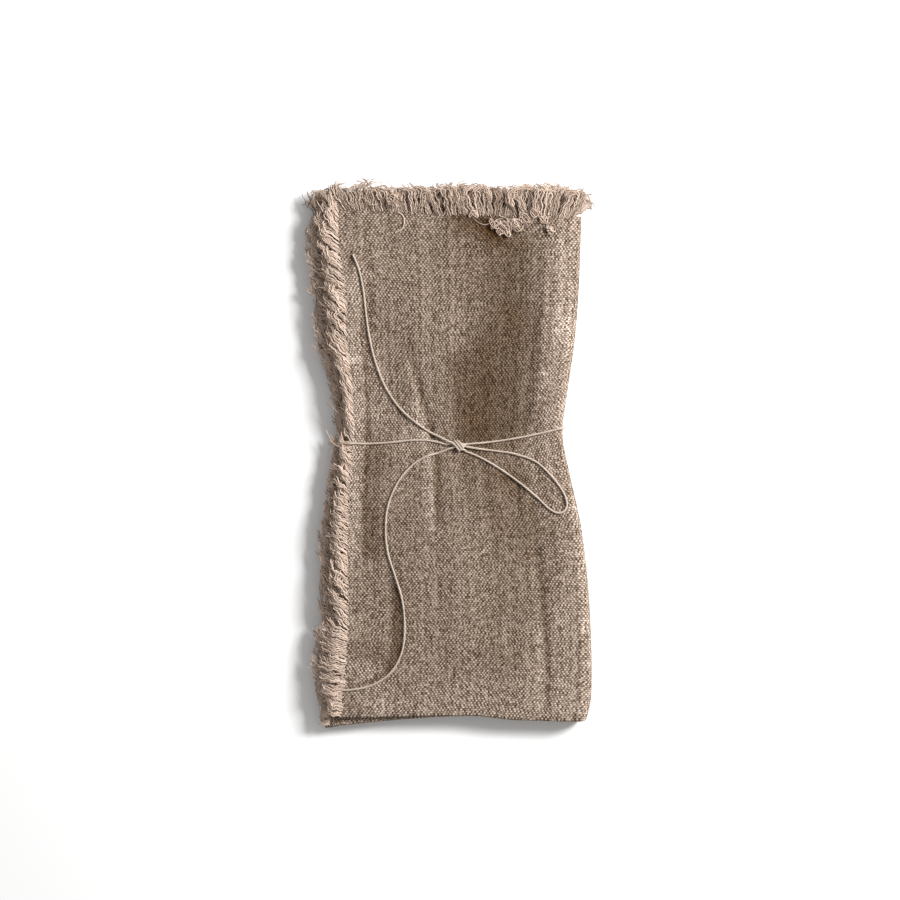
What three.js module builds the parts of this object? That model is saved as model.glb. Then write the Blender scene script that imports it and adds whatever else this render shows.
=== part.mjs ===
// A square linen napkin with a frayed hem, folded in half three times and tied round its waist.
// Millimetres. +X runs to the round fold, +Y to the frayed top edge, +Z up from the table.
// The cloth is first folded flat, as a stack of even layers, and then everything is settled:
// one smooth change of shape gives it the drawn-in waist, the uneven edges and the soft troughs.

import * as THREE from 'three';
import { mergeVertices } from 'three/addons/utils/BufferGeometryUtils.js';

// The flat stack: four packs of two layers
const LAYER = 1.0;
const GAP = 0.4;
const PITCH = LAYER + GAP;
const PACKS = 4;
const STACK = 2 * PACKS * PITCH - GAP;
const OUTER_FOLD_X = 55.6;
const INNER_FOLD_X = 52.0;
const HIDDEN_FOLD_X = -55.8;
const TOP_ROOT_X = -48.6;
const SECOND_ROOT_X = -54.2;
const BOTTOM_Y = -122.6;
const TOP_Y = 111.4;
const RIGHT_EDGE_X = OUTER_FOLD_X + STACK / 2;

// The waist, where the tie draws the stack in
const WAIST_Y = 7.0;
const WAIST_REACH = 45.0;
const TWINE = 1.0;
const GROOVE = 1.75;
const GROOVE_REACH = 4.5;
const BITE = 0.5;
const BITE_REACH = 4.0;
const BAND_SLOPE_LEFT = -0.02;
const BAND_SLOPE_RIGHT = 0.07;
const BAND_BOW = 0.0019;

// How far the fringe's side is pressed together, beside the tie and at the bottom folds
const TIE_PRESS = 0.4;
const TIE_PRESS_REACH = 26;
const FOLD_PRESS = 0.35;
const FOLD_PRESS_REACH = 16;

// The fringe: locks whose roots are fused into a narrow strip beside the cloth's edge
const PARTING = 0.7;
const STRIP = 1.8;
const LOCK_SHARE = 0.66;
const LOCK_BELLY = 0.6;
const BELLY_WIDTH = 1.05;
const BELLY_THICK = 0.84;
const BELLY_LIFT = 0.12;
const FRINGE_DROOP = 0.9;
const FRINGE_REACH = 14.0;
const TIE_CLEARANCE = 2.6;
const WIDEST_LOCK = 2.6;
const LEFT_LOCK = 10.6;
const LEFT_LEAN = 0.62;
const FREED_BELOW_TIE = 13;
const LEVEL_BELOW = -104;
const LEVEL_REACH = 36;
const TOP_LOCK = 11.4;
const TOP_LEAN = 0.16;
const TOP_FAN = 0.95;

// How far the lower packs are turned against the top one
const LOWER_SKEW = 4.0;
const SKEW_START = 22;
const SKEW_REACH = 45;

// The two layers of a pack end a little apart, and neither end is quite straight
const EDGE_STEP = 1.0;
const EDGE_WAVE = 0.7;

// The top edge climbs towards the left corner, where its fringe is shorter
const TOP_CLIMB = 4.4;
const CLIMB_FROM = 8;
const CLIMB_REACH = 56;
const CLIMB_SHORTER = 0.6;

// The bottom folds drop towards the right
const BOTTOM_DROP = 1.8;
const DROP_FROM = 8;
const DROP_REACH = 24;

// The origin lies under the middle of the folded napkin's box
const MIDDLE_X = -1.7;
const MIDDLE_Y = -0.2;

const LINEN = { color: 0x8d7b6c, roughness: 0.95, metalness: 0 };
const FRAYED = { color: 0x93806f, roughness: 0.95, metalness: 0 };
const WAXED = { color: 0xb9a58f, roughness: 0.6, metalness: 0 };

// Where the settled cloth's left and right edges run, from the bottom folds to the frayed top,
// and how high its top surface stands at the left edge, in the middle and beside the round fold
const OUTLINE = [
  { y: -126, left: -52.0, right: 64.8, high: [10.2, 11.8, 12.2] },
  { y: -117, left: -50.8, right: 67.0, high: [10.4, 12.1, 12.5] },
  { y: -108, left: -49.6, right: 67.6, high: [10.6, 12.4, 12.8] },
  { y: -84, left: -48.4, right: 67.2, high: [10.8, 12.7, 13.2] },
  { y: -58, left: -48.6, right: 65.6, high: [10.6, 12.5, 13.0] },
  { y: -32, left: -48.2, right: 62.2, high: [10.2, 12.0, 12.4] },
  { y: -10, left: -47.0, right: 57.4, high: [9.9, 11.0, 11.4] },
  { y: 9, left: -45.8, right: 53.9, high: [9.7, 10.2, 10.4] },
  { y: 28, left: -46.0, right: 56.0, high: [9.8, 11.0, 11.6] },
  { y: 52, left: -48.8, right: 59.4, high: [10.4, 12.0, 12.6] },
  { y: 76, left: -49.6, right: 61.4, high: [10.6, 12.4, 13.0] },
  { y: 97, left: -52.4, right: 62.3, high: [10.4, 12.2, 12.8] },
  { y: 113, left: -53.4, right: 62.8, high: [10.0, 11.6, 12.0] },
  { y: 128, left: -53.6, right: 63.2, high: [8.8, 10.0, 10.4] },
];

// Soft troughs and ridges in the top surface, each along a line from one point to another
const CREASES = [
  { from: [20, 108], to: [17, 18], wide: 14, deep: 1.5 },
  { from: [50, 104], to: [46, 24], wide: 9, deep: -1.0 },
  { from: [-48, 84], to: [-45, 16], wide: 10, deep: -0.8 },
  { from: [-37, 84], to: [-34, 14], wide: 8, deep: 0.5 },
  { from: [-14, 66], to: [-5, 14], wide: 9, deep: -0.6 },
  { from: [32, -8], to: [44, -96], wide: 10, deep: 0.6 },
  { from: [4, -14], to: [8, -88], wide: 10, deep: -0.5 },
  { from: [-47, -14], to: [-48, -100], wide: 7, deep: -0.7 },
  { from: [-35, -14], to: [-31, -78], wide: 8, deep: 0.5 },
];

// Stations across the stack, shared by all its levels, and rows along it
const COLUMNS = [-48.6, -44, -37, -29, -19, -8, 3, 14, 25, 36, 46];
const ROWS = [-102, -80, -58, -38, -20, -7, 1, 5, 9, 13, 21, 36, 56, 77, 95, 108];
const OUTER_ARC_PARTS = 6;
const SMALL_ARC_PARTS = 4;
const HEM_ARC_PARTS = 4;

// The tie's routes. A point gives its x and y and how far its centre lies over the top surface,
// or its height from the table where it has left the top surface.
const ROUTES = {
  tie_band: [
    { x: -0.6, y: 4.4, over: 1.0 },
    { x: -8.0, y: 6.2, over: 0.95 },
    { x: -17, y: 6.5, over: 0.95 },
    { x: -27, y: 5.5, over: 0.95 },
    { x: -37, y: 4.9, over: 1.0 },
    { x: -43.4, y: 5.0, over: 1.25 },
    { x: -47.2, y: 5.0, height: 10.8 },
    { x: -50.8, y: 5.0, height: 9.0 },
    { x: -54.0, y: 5.0, height: 6.7 },
    { x: -56.2, y: 5.0, height: 4.6 },
    { x: -56.7, y: 5.0, height: 2.9 },
    { x: -55.6, y: 5.0, height: 1.2 },
    { x: -53.2, y: 5.0, height: 0.56 },
    { x: -44, y: 5.0, height: 0.53 },
    { x: -29, y: 4.7, height: 0.53 },
    { x: -14, y: 4.4, height: 0.53 },
    { x: 1, y: 4.1, height: 0.53 },
    { x: 16, y: 5.2, height: 0.53 },
    { x: 31, y: 7.3, height: 0.53 },
    { x: 43, y: 9.7, height: 0.53 },
    { x: 49.0, y: 11.1, height: 0.54 },
    { x: 52.6, y: 12.0, height: 1.3 },
    { x: 54.4, y: 12.4, height: 3.3 },
    { x: 55.0, y: 12.5, height: 5.8 },
    { x: 54.4, y: 12.4, height: 8.4 },
    { x: 52.4, y: 12.0, height: 10.4 },
    { x: 49.0, y: 11.1, over: 1.0 },
    { x: 42, y: 9.5, over: 0.95 },
    { x: 32, y: 7.5, over: 1.0 },
    { x: 20, y: 5.7, over: 0.95 },
    { x: 7.9, y: 4.6, over: 1.0 },
  ],
  tie_loop: [
    { x: 7.9, y: 3.6, over: 2.1 },
    { x: 13.5, y: 2.6, over: 1.4 },
    { x: 22, y: 1.5, over: 0.95 },
    { x: 31, y: 0.1, over: 0.95 },
    { x: 40.7, y: -3.4, over: 0.95 },
    { x: 48.0, y: -9.9, over: 0.95 },
    { x: 53.6, y: -17.4, over: 0.95 },
    { x: 55.6, y: -23.0, over: 0.95 },
    { x: 54.4, y: -26.6, over: 0.95 },
    { x: 51.2, y: -27.6, over: 0.95 },
    { x: 47.2, y: -25.6, over: 0.95 },
    { x: 42.0, y: -20.7, over: 0.95 },
    { x: 33.6, y: -13.6, over: 0.95 },
    { x: 24, y: -6.8, over: 0.95 },
    { x: 15, y: -1.6, over: 0.95 },
    { x: 7.6, y: 1.5, over: 1.0 },
  ],
  tie_end_upper: [
    { x: -0.5, y: 6.2, over: 2.1 },
    { x: -4.4, y: 8.2, over: 1.4 },
    { x: -9.6, y: 10.8, over: 0.95 },
    { x: -16.4, y: 15.6, over: 0.95 },
    { x: -23.4, y: 22.2, over: 0.95 },
    { x: -29.8, y: 31.8, over: 0.95 },
    { x: -34.4, y: 43.4, over: 1.05 },
    { x: -37.2, y: 55.0, over: 1.05 },
    { x: -38.8, y: 66.0, over: 1.05 },
    { x: -40.0, y: 76.6, over: 1.0 },
    { x: -42.0, y: 86.4, over: 1.0 },
    { x: -45.0, y: 94.0, over: 0.95 },
  ],
  tie_end_lower: [
    { x: -0.5, y: 2.2, over: 1.4 },
    { x: -4.8, y: 0.6, over: 0.95 },
    { x: -10.6, y: -1.2, over: 0.95 },
    { x: -16.6, y: -4.8, over: 0.95 },
    { x: -23.4, y: -12.6, over: 0.95 },
    { x: -28.2, y: -23.4, over: 0.95 },
    { x: -29.6, y: -34.6, over: 0.95 },
    { x: -28.6, y: -46.0, over: 0.95 },
    { x: -25.2, y: -57.0, over: 0.95 },
    { x: -21.8, y: -68.4, over: 0.95 },
    { x: -20.6, y: -80.4, over: 0.95 },
    { x: -21.8, y: -92.6, over: 0.95 },
    { x: -27.0, y: -102.4, over: 0.95 },
    { x: -36.0, y: -108.6, over: 0.95 },
    { x: -46.0, y: -110.8, over: 1.1 },
    { x: -53.6, y: -110.9, over: 1.1 },
  ],
};
const KNOT = { x: 3.7, y: 4.0, over: 1.9, halfSizes: [3.0, 2.4, 1.4] };

// A repeatable number between -1 and 1 for each index
function chance(index, salt) {
  const wave = Math.sin(index * 12.9898 + salt * 78.233) * 43758.5453;
  return 2 * (wave - Math.floor(wave)) - 1;
}

const bell = (distance, reach) => Math.exp(-((distance / reach) ** 2));

function smooth(value) {
  const t = Math.min(1, Math.max(0, value));
  return t * t * (3 - 2 * t);
}

// A smooth curve through a table's rows at a place along y
function along(rows, y, pick) {
  const last = rows.length - 1;
  let i = 0;
  while (i < last - 1 && y > rows[i + 1].y) i += 1;
  const [a, b] = [rows[i], rows[i + 1]];
  const slope = (p, q) => (pick(q) - pick(p)) / (q.y - p.y);
  const slopeA = i > 0 ? slope(rows[i - 1], b) : slope(a, b);
  const slopeB = i < last - 1 ? slope(a, rows[i + 2]) : slope(a, b);
  const span = b.y - a.y;
  const t = Math.min(1, Math.max(0, (y - a.y) / span));
  return pick(a) * (1 + 2 * t) * (1 - t) ** 2 + slopeA * span * t * (1 - t) ** 2
    + pick(b) * t * t * (3 - 2 * t) - slopeB * span * t * t * (1 - t);
}

// Where the tie crosses the napkin, at each x
function bandY(x) {
  const away = x - KNOT.x;
  return KNOT.y + (away < 0 ? BAND_SLOPE_LEFT * away : BAND_SLOPE_RIGHT * away + BAND_BOW * away * away);
}

function distanceToLine(x, y, from, to) {
  const [dx, dy] = [to[0] - from[0], to[1] - from[1]];
  const share = ((x - from[0]) * dx + (y - from[1]) * dy) / (dx * dx + dy * dy);
  const t = Math.min(1, Math.max(0, share));
  return Math.hypot(x - from[0] - t * dx, y - from[1] - t * dy);
}

// The height of the settled top surface over the table
function topHeight(x, y) {
  const left = along(OUTLINE, y, (row) => row.left);
  const right = along(OUTLINE, y, (row) => row.right);
  const share = Math.min(1, Math.max(0, (x - left) / (right - left)));
  const [low, middle, high] = [0, 1, 2].map((i) => along(OUTLINE, y, (row) => row.high[i]));
  const across = low * (1 - share) * (1 - 2 * share) + 4 * middle * share * (1 - share)
    + high * share * (2 * share - 1);
  const creased = CREASES.reduce(
    (sum, crease) => sum - crease.deep * bell(distanceToLine(x, y, crease.from, crease.to), crease.wide),
    across,
  );
  const bitten = creased - BITE * bell(y - bandY(x), BITE_REACH);
  return bitten - FRINGE_DROOP * smooth((left - x) / FRINGE_REACH);
}

// The groove that the tie presses into the underside
const grooveHeight = (x, y) => GROOVE * bell(y - bandY(x), GROOVE_REACH);

// Moves a point of the flat stack to its settled place
function settle(x, y, z) {
  const waist = bell(y - WAIST_Y, WAIST_REACH);
  const settledY = y + (bandY(x) - WAIST_Y) * waist;
  const left = along(OUTLINE, settledY, (row) => row.left);
  const right = along(OUTLINE, settledY, (row) => row.right);
  const squeeze = 1 - TIE_PRESS * bell(settledY - bandY(left), TIE_PRESS_REACH)
    - FOLD_PRESS * bell(settledY - BOTTOM_Y, FOLD_PRESS_REACH);
  const settledX = x < TOP_ROOT_X
    ? left + (x - TOP_ROOT_X) * squeeze
    : left + ((x - TOP_ROOT_X) * (right - left)) / (RIGHT_EDGE_X - TOP_ROOT_X);
  const lift = grooveHeight(settledX, settledY);
  const top = topHeight(settledX, settledY);
  return new THREE.Vector3(settledX, settledY, lift + (z * (top - lift)) / STACK);
}

// The lower packs are turned a little, so that their corner shows at the bottom left
function lowerShift(x, y) {
  const away = smooth((Math.abs(y - WAIST_Y) - SKEW_START) / SKEW_REACH);
  const share = Math.max(0, (OUTER_FOLD_X - x) / (OUTER_FOLD_X - TOP_ROOT_X));
  return -LOWER_SKEW * away * share;
}

// The spiral that a pack follows from the top level round to the second, seen from the bottom
// edge: each station has its place, the direction away from the cloth's back, and its pack level.
const levelHeight = (level) => LAYER / 2 + PITCH / 2 + (level - 1) * 2 * PITCH;

function levelStations(level, fromX, toX) {
  const [low, high] = [Math.min(fromX, toX), Math.max(fromX, toX)];
  const between = COLUMNS.filter((x) => x > low + 2.5 && x < high - 2.5);
  const places = [low, ...between, high];
  if (fromX > toX) places.reverse();
  const normalZ = fromX < toX ? 1 : -1;
  return places.map((x) => ({ x, z: levelHeight(level), normalX: 0, normalZ, lower: level < PACKS }));
}

function arcStations(centreX, lowLevel, highLevel, firstAngle, turn, parts) {
  const centreZ = (levelHeight(lowLevel) + levelHeight(highLevel)) / 2;
  const radius = (levelHeight(highLevel) - levelHeight(lowLevel)) / 2;
  const outward = turn < 0 ? 1 : -1;
  return Array.from({ length: parts - 1 }, (_, i) => {
    const angle = firstAngle + (turn * Math.PI * (i + 1)) / parts;
    const [c, s] = [Math.cos(angle), Math.sin(angle)];
    return {
      x: centreX + radius * c,
      z: centreZ + radius * s,
      normalX: outward * c,
      normalZ: outward * s,
      lower: true,
    };
  });
}

const SPIRAL = [
  ...levelStations(4, TOP_ROOT_X, OUTER_FOLD_X),
  ...arcStations(OUTER_FOLD_X, 1, 4, Math.PI / 2, -1, OUTER_ARC_PARTS),
  ...levelStations(1, OUTER_FOLD_X, HIDDEN_FOLD_X),
  ...arcStations(HIDDEN_FOLD_X, 1, 2, -Math.PI / 2, -1, SMALL_ARC_PARTS),
  ...levelStations(2, HIDDEN_FOLD_X, INNER_FOLD_X),
  ...arcStations(INNER_FOLD_X, 2, 3, -Math.PI / 2, 1, SMALL_ARC_PARTS),
  ...levelStations(3, INNER_FOLD_X, SECOND_ROOT_X),
];

// Whether a level's pack lies with its front layer up
const facing = (level) => (level % 2 === 0 ? 1 : -1);

const topClimb = (x) => TOP_CLIMB * smooth((CLIMB_FROM - x) / CLIMB_REACH);

function topEdge(x, side) {
  return TOP_Y + topClimb(x) + side * EDGE_STEP + EDGE_WAVE * Math.sin(x / 17 + side);
}

function bottomEdge(x) {
  const drop = BOTTOM_DROP * smooth((x - DROP_FROM) / DROP_REACH);
  return BOTTOM_Y + EDGE_WAVE * Math.sin(x / 23 + 1.2) - drop;
}

// The path across a pack: up the back layer's rows, round the bottom fold, up the front layer's
const HEM_PATH = [
  { kind: 'back edge' },
  ...[...ROWS].reverse().map((y) => ({ kind: 'row', side: -1, y })),
  ...Array.from({ length: HEM_ARC_PARTS + 1 }, (_, i) => ({
    kind: 'fold',
    angle: (Math.PI * i) / HEM_ARC_PARTS,
  })),
  ...ROWS.map((y) => ({ kind: 'row', side: 1, y })),
  { kind: 'front edge' },
];

// A point of the folded cloth: its station on the spiral, its step across the pack, and how far
// it lies from the middle of the cloth's thickness, outwards
function foldedPoint(station, step, outward) {
  const reach = PITCH / 2 + outward;
  let y = step.y;
  let away = step.side * reach;
  if (step.kind === 'fold') {
    y = bottomEdge(station.x) - reach * Math.sin(step.angle);
    away = -reach * Math.cos(step.angle);
  } else if (step.kind === 'back edge') {
    y = topEdge(station.x, -1);
    away = -reach;
  } else if (step.kind === 'front edge') {
    y = topEdge(station.x, 1);
    away = reach;
  }
  const x = station.x + away * station.normalX;
  const shift = station.lower ? lowerShift(station.x, y) : 0;
  return settle(x, y + shift, station.z + away * station.normalZ);
}

// A flat block with a grid of corners, counted from 0, each moved to its place
function bentBlock(countX, countY, place) {
  const block = new THREE.BoxGeometry(countX - 1, countY - 1, 1, countX - 1, countY - 1, 1);
  block.translate((countX - 1) / 2, (countY - 1) / 2, 0);
  block.deleteAttribute('normal');
  block.deleteAttribute('uv');
  const geometry = mergeVertices(block);
  const corners = geometry.attributes.position;
  for (let i = 0; i < corners.count; i += 1) {
    const point = place(Math.round(corners.getX(i)), Math.round(corners.getY(i)), corners.getZ(i));
    corners.setXYZ(i, point.x, point.y, point.z);
  }
  return geometry;
}

function foldedCloth() {
  return bentBlock(SPIRAL.length, HEM_PATH.length, (column, row, side) => (
    foldedPoint(SPIRAL[column], HEM_PATH[row], side * LAYER)
  ));
}

// A place between two stations of the cloth, on the straight line that its own facet follows
function onFacet(stations, value, place) {
  let i = 0;
  while (i < stations.length - 2 && value > stations[i + 1]) i += 1;
  const share = (value - stations[i]) / (stations[i + 1] - stations[i]);
  return place(stations[i]).lerp(place(stations[i + 1]), share);
}

// One closed body of a narrow strip and its locks. The strip is a row of cells, and the outer
// face of every second cell grows into a lock: a belly of four corners, then a point.
function frayedEdge(count, stripCorner, lockCorner, lockTip) {
  const places = [];
  const index = [];
  const add = (point) => places.push(point.x, point.y, point.z) / 3 - 1;
  const quad = (a, b, c, d) => index.push(a, b, c, a, c, d);
  const rings = [];
  for (let j = 0; j < 2 * count + 2; j += 1) {
    rings.push([[0, 0], [1, 0], [1, 1], [0, 1]].map(([outer, top]) => add(stripCorner(j, outer, top))));
  }
  rings.slice(1).forEach((next, j) => {
    const ring = rings[j];
    quad(ring[3], next[3], next[2], ring[2]);
    quad(ring[0], ring[1], next[1], next[0]);
    quad(ring[0], next[0], next[3], ring[3]);
    if (j % 2 === 0) quad(next[1], ring[1], ring[2], next[2]);
  });
  quad(rings[0][0], rings[0][3], rings[0][2], rings[0][1]);
  quad(...rings[rings.length - 1]);
  for (let i = 0; i < count; i += 1) {
    const [near, far] = [rings[2 * i + 1], rings[2 * i + 2]];
    const root = [near[1], far[1], far[2], near[2]];
    const belly = [[-1, 0], [1, 0], [1, 1], [-1, 1]].map(([across, top]) => add(lockCorner(i, across, top)));
    const tip = add(lockTip(i));
    root.forEach((corner, k) => {
      const after = (k + 1) % 4;
      quad(corner, belly[k], belly[after], root[after]);
      index.push(belly[k], tip, belly[after]);
    });
  }
  const geometry = new THREE.BufferGeometry();
  geometry.setAttribute('position', new THREE.Float32BufferAttribute(places, 3));
  geometry.setIndex(index);
  return geometry;
}

// Where a lock's middle line runs on the flat stack, from its root, as it leans and bends
function lockLine({ x, y, direction, bend, length }, share, across = 0) {
  const sideways = across + bend * share * share;
  return [
    x + share * length * Math.cos(direction) + sideways * Math.sin(direction),
    y + share * length * Math.sin(direction) - sideways * Math.cos(direction),
  ];
}

// The fringe of one layer's edge: cellAt gives the strip's cell borders along the edge, flatAt
// the strip's corners in the flat stack, and the rows of locks say how each one leans.
function fringe({ locks, cellBorders, stations, z, flatAt }) {
  const bottom = z - LAYER / 2;
  const stripCorner = (j, outer, top) => onFacet(stations, cellBorders[j], (place) => (
    settle(...flatAt(place, PARTING + outer * STRIP), bottom + top * LAYER)
  ));
  const lockCorner = (i, across, top) => {
    const half = (across * BELLY_WIDTH * locks[i].width) / 2;
    return settle(...lockLine(locks[i], LOCK_BELLY, half), bottom + BELLY_LIFT + top * BELLY_THICK);
  };
  const lockTip = (i) => settle(...lockLine(locks[i], 1), bottom + BELLY_THICK / 4);
  return frayedEdge(locks.length, stripCorner, lockCorner, lockTip);
}

// Cell borders for locks at these middles, with a gap cell before, between and after them
function bordersRound(middles, width, first, last) {
  const borders = middles.flatMap((middle) => [middle - width / 2, middle + width / 2]);
  return [first, ...borders, last];
}

// How far the left locks are off level: not at all at the bottom corner, fully higher up
const offLevel = (y) => smooth((y - LEVEL_BELOW) / LEVEL_REACH);

// How the left locks lean: up and out, but level just below the tie, which parts them, and at the
// bottom corner
function leftLean(y) {
  const below = WAIST_Y - y;
  const freed = below > 0 ? 1 - bell(below, FREED_BELOW_TIE) : 1;
  return (LEFT_LEAN + 0.16 * Math.sin(y / 19) + 0.1 * Math.sin(y / 6.3)) * freed * offLevel(y);
}

function leftFringe({ rootX, side, level, count }) {
  const top = topEdge(rootX, side * facing(level));
  const bottom = bottomEdge(rootX);
  const pitch = (top - bottom) / count;
  const width = Math.min(WIDEST_LOCK, LOCK_SHARE * pitch);
  const middles = Array.from({ length: count }, (_, i) => bottom + (i + 0.5) * pitch)
    .filter((y) => Math.abs(y - WAIST_Y) > TIE_CLEARANCE);
  const flatAt = (y, outwards) => [
    rootX - outwards,
    y + (level < PACKS ? lowerShift(rootX, y) : 0),
  ];
  const locks = middles.map((middle, i) => {
    const [x, y] = flatAt(middle, PARTING + STRIP);
    return {
      x,
      y,
      width,
      direction: Math.PI - leftLean(middle) + 0.05 * chance(i, level + side),
      bend: 1.0 + 0.5 * chance(i, 5),
      length: LEFT_LOCK + 1.4 * chance(i, 9 + level),
    };
  });
  return fringe({
    locks,
    cellBorders: bordersRound(middles, width, bottom, top),
    stations: [bottom, ...ROWS, top],
    z: levelHeight(level) + side * (PITCH / 2),
    flatAt,
  });
}

// How the top locks lean, from a little left at the left corner to well right at the round fold
const topLean = (x) => TOP_LEAN - TOP_FAN * smooth((x - 22) / 34) + 0.1 * Math.sin(x / 9);

function topFringe({ fromX, toX, side, level, count }) {
  const outerSide = side * facing(level);
  const pitch = (toX - fromX) / count;
  const width = Math.min(WIDEST_LOCK, LOCK_SHARE * pitch);
  const middles = Array.from({ length: count }, (_, i) => fromX + (i + 0.5) * pitch);
  const flatAt = (x, outwards) => {
    const edge = topEdge(x, outerSide);
    return [x, edge + (level < PACKS ? lowerShift(x, edge) : 0) + outwards];
  };
  const locks = middles.map((middle, i) => {
    const [x, y] = flatAt(middle, PARTING + STRIP);
    return {
      x,
      y,
      width,
      direction: Math.PI / 2 + topLean(x) + 0.05 * chance(i, 20 + level + side),
      bend: 0.7 * chance(i, 31),
      length: TOP_LOCK - CLIMB_SHORTER * topClimb(middle) + 1.5 * chance(i, 40 + level),
    };
  });
  return fringe({
    locks,
    cellBorders: bordersRound(middles, width, fromX, toX),
    stations: [fromX, ...COLUMNS.filter((x) => x > fromX + 2.5 && x < toX - 2.5), toX],
    z: levelHeight(level) + side * (PITCH / 2),
    flatAt,
  });
}

function routePoint({ x, y, over, height }) {
  return new THREE.Vector3(x, y, height ?? topHeight(x, y) + over);
}

// A curve whose steps follow its points, not its length, so that tight bends get more of them
class HandLaidPath extends THREE.CatmullRomCurve3 {
  getPointAt(share) {
    return this.getPoint(share);
  }

  getTangentAt(share) {
    return this.getTangent(share);
  }
}

function twine(points) {
  const section = new THREE.Shape().absarc(0, 0, TWINE / 2, 0, 2 * Math.PI);
  const extrudePath = new HandLaidPath(points.map(routePoint));
  const steps = points.length - 1;
  return new THREE.ExtrudeGeometry(section, { steps, bevelEnabled: false, curveSegments: 4, extrudePath });
}

function knot() {
  const geometry = new THREE.IcosahedronGeometry(1, 1);
  geometry.scale(...KNOT.halfSizes);
  const place = routePoint(KNOT);
  geometry.translate(place.x, place.y, place.z);
  return geometry;
}

const napkin = new THREE.Group();
napkin.position.set(-MIDDLE_X, -MIDDLE_Y, 0);

function addPiece(name, geometry, look) {
  const piece = new THREE.Mesh(geometry, new THREE.MeshStandardMaterial(look));
  piece.name = name;
  napkin.add(piece);
}

addPiece('cloth', foldedCloth(), LINEN);

const LEFT_FRINGES = [
  { name: 'fringe_left_1', level: 4, side: 1, rootX: TOP_ROOT_X, count: 58 },
  { name: 'fringe_left_2', level: 4, side: -1, rootX: TOP_ROOT_X, count: 32 },
  { name: 'fringe_left_3', level: 3, side: 1, rootX: SECOND_ROOT_X, count: 30 },
  { name: 'fringe_left_4', level: 3, side: -1, rootX: SECOND_ROOT_X, count: 20 },
];
LEFT_FRINGES.forEach((row) => addPiece(row.name, leftFringe(row), FRAYED));

const TOP_FRINGES = [
  { name: 'fringe_top_1', level: 4, side: 1, fromX: TOP_ROOT_X, toX: OUTER_FOLD_X, count: 31 },
  { name: 'fringe_top_2', level: 4, side: -1, fromX: TOP_ROOT_X, toX: OUTER_FOLD_X, count: 18 },
  { name: 'fringe_top_3', level: 3, side: 1, fromX: SECOND_ROOT_X, toX: INNER_FOLD_X, count: 12 },
  { name: 'fringe_top_4', level: 3, side: -1, fromX: SECOND_ROOT_X, toX: INNER_FOLD_X, count: 12 },
  { name: 'fringe_top_5', level: 2, side: 1, fromX: HIDDEN_FOLD_X, toX: INNER_FOLD_X, count: 12 },
  { name: 'fringe_top_6', level: 2, side: -1, fromX: HIDDEN_FOLD_X, toX: INNER_FOLD_X, count: 12 },
  { name: 'fringe_top_7', level: 1, side: 1, fromX: HIDDEN_FOLD_X, toX: OUTER_FOLD_X, count: 12 },
  { name: 'fringe_top_8', level: 1, side: -1, fromX: HIDDEN_FOLD_X, toX: OUTER_FOLD_X, count: 12 },
];
TOP_FRINGES.forEach((row) => addPiece(row.name, topFringe(row), FRAYED));

Object.entries(ROUTES).forEach(([name, route]) => addPiece(name, twine(route), WAXED));
addPiece('tie_knot', knot(), WAXED);

export default napkin;
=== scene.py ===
# The looks of a folded linen napkin with a frayed hem, tied round its waist with thin twine.
# Lengths and tables are in millimetres, in the frame that the outline was measured in.
# to_scene turns them into metres in the frame of the solids.

import math

import bpy
import numpy as np
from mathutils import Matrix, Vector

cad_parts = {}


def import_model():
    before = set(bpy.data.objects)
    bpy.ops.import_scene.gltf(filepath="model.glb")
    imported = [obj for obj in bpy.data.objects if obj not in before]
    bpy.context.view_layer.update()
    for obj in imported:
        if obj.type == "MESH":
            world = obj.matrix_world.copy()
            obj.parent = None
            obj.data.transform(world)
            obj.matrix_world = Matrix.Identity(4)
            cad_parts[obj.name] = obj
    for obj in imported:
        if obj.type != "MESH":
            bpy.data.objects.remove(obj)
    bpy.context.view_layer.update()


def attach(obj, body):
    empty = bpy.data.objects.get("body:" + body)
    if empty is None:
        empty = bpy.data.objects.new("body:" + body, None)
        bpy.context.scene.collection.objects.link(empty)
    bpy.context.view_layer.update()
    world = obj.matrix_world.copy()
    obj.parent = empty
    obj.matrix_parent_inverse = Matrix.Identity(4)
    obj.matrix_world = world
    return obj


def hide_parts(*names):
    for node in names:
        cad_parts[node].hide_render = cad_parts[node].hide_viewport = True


# The flat stack, as the solids have it but for a thinner sheet: four packs of two layers
SHEET = 0.92
PITCH = 1.4
PACKS = 4
STACK = 10.8
OUTER_FOLD_X = 55.6
INNER_FOLD_X = 52.0
HIDDEN_FOLD_X = -55.8
TOP_ROOT_X = -48.6
SECOND_ROOT_X = -54.2
RIGHT_EDGE_X = OUTER_FOLD_X + STACK / 2
BOTTOM_Y = -122.6
TOP_Y = 111.4

# Its edges: the step between a pack's two layers, the waves along them, how the top climbs to
# the left corner and how the bottom drops to the right one
EDGE_STEP = 1.0
EDGE_WAVE = 0.7
TOP_WAVE_REACH = 17
BOTTOM_WAVE_REACH = 23
BOTTOM_WAVE_SHIFT = 1.2
TOP_CLIMB = 4.4
CLIMB_FROM = 8
CLIMB_REACH = 56
BOTTOM_DROP = 1.8
DROP_FROM = 8
DROP_REACH = 24

# How far the lower packs are turned down at their left, away from the waist
LOWER_SKEW = 4.0
SKEW_START = 22
SKEW_REACH = 45
SKEW_POWER = 3

# A faint ripple, shifted from side to side and from layer to layer
RIPPLE = 0.1
RIPPLE_ACROSS = 11
RIPPLE_DOWN = 13
RIPPLE_SIDE_SHIFT = 2
RIPPLE_LAYER_SHIFT = 1.7

# The middle of the outline, where the solids have their origin
MIDDLE_X = -1.7
MIDDLE_Y = -0.2

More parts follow.
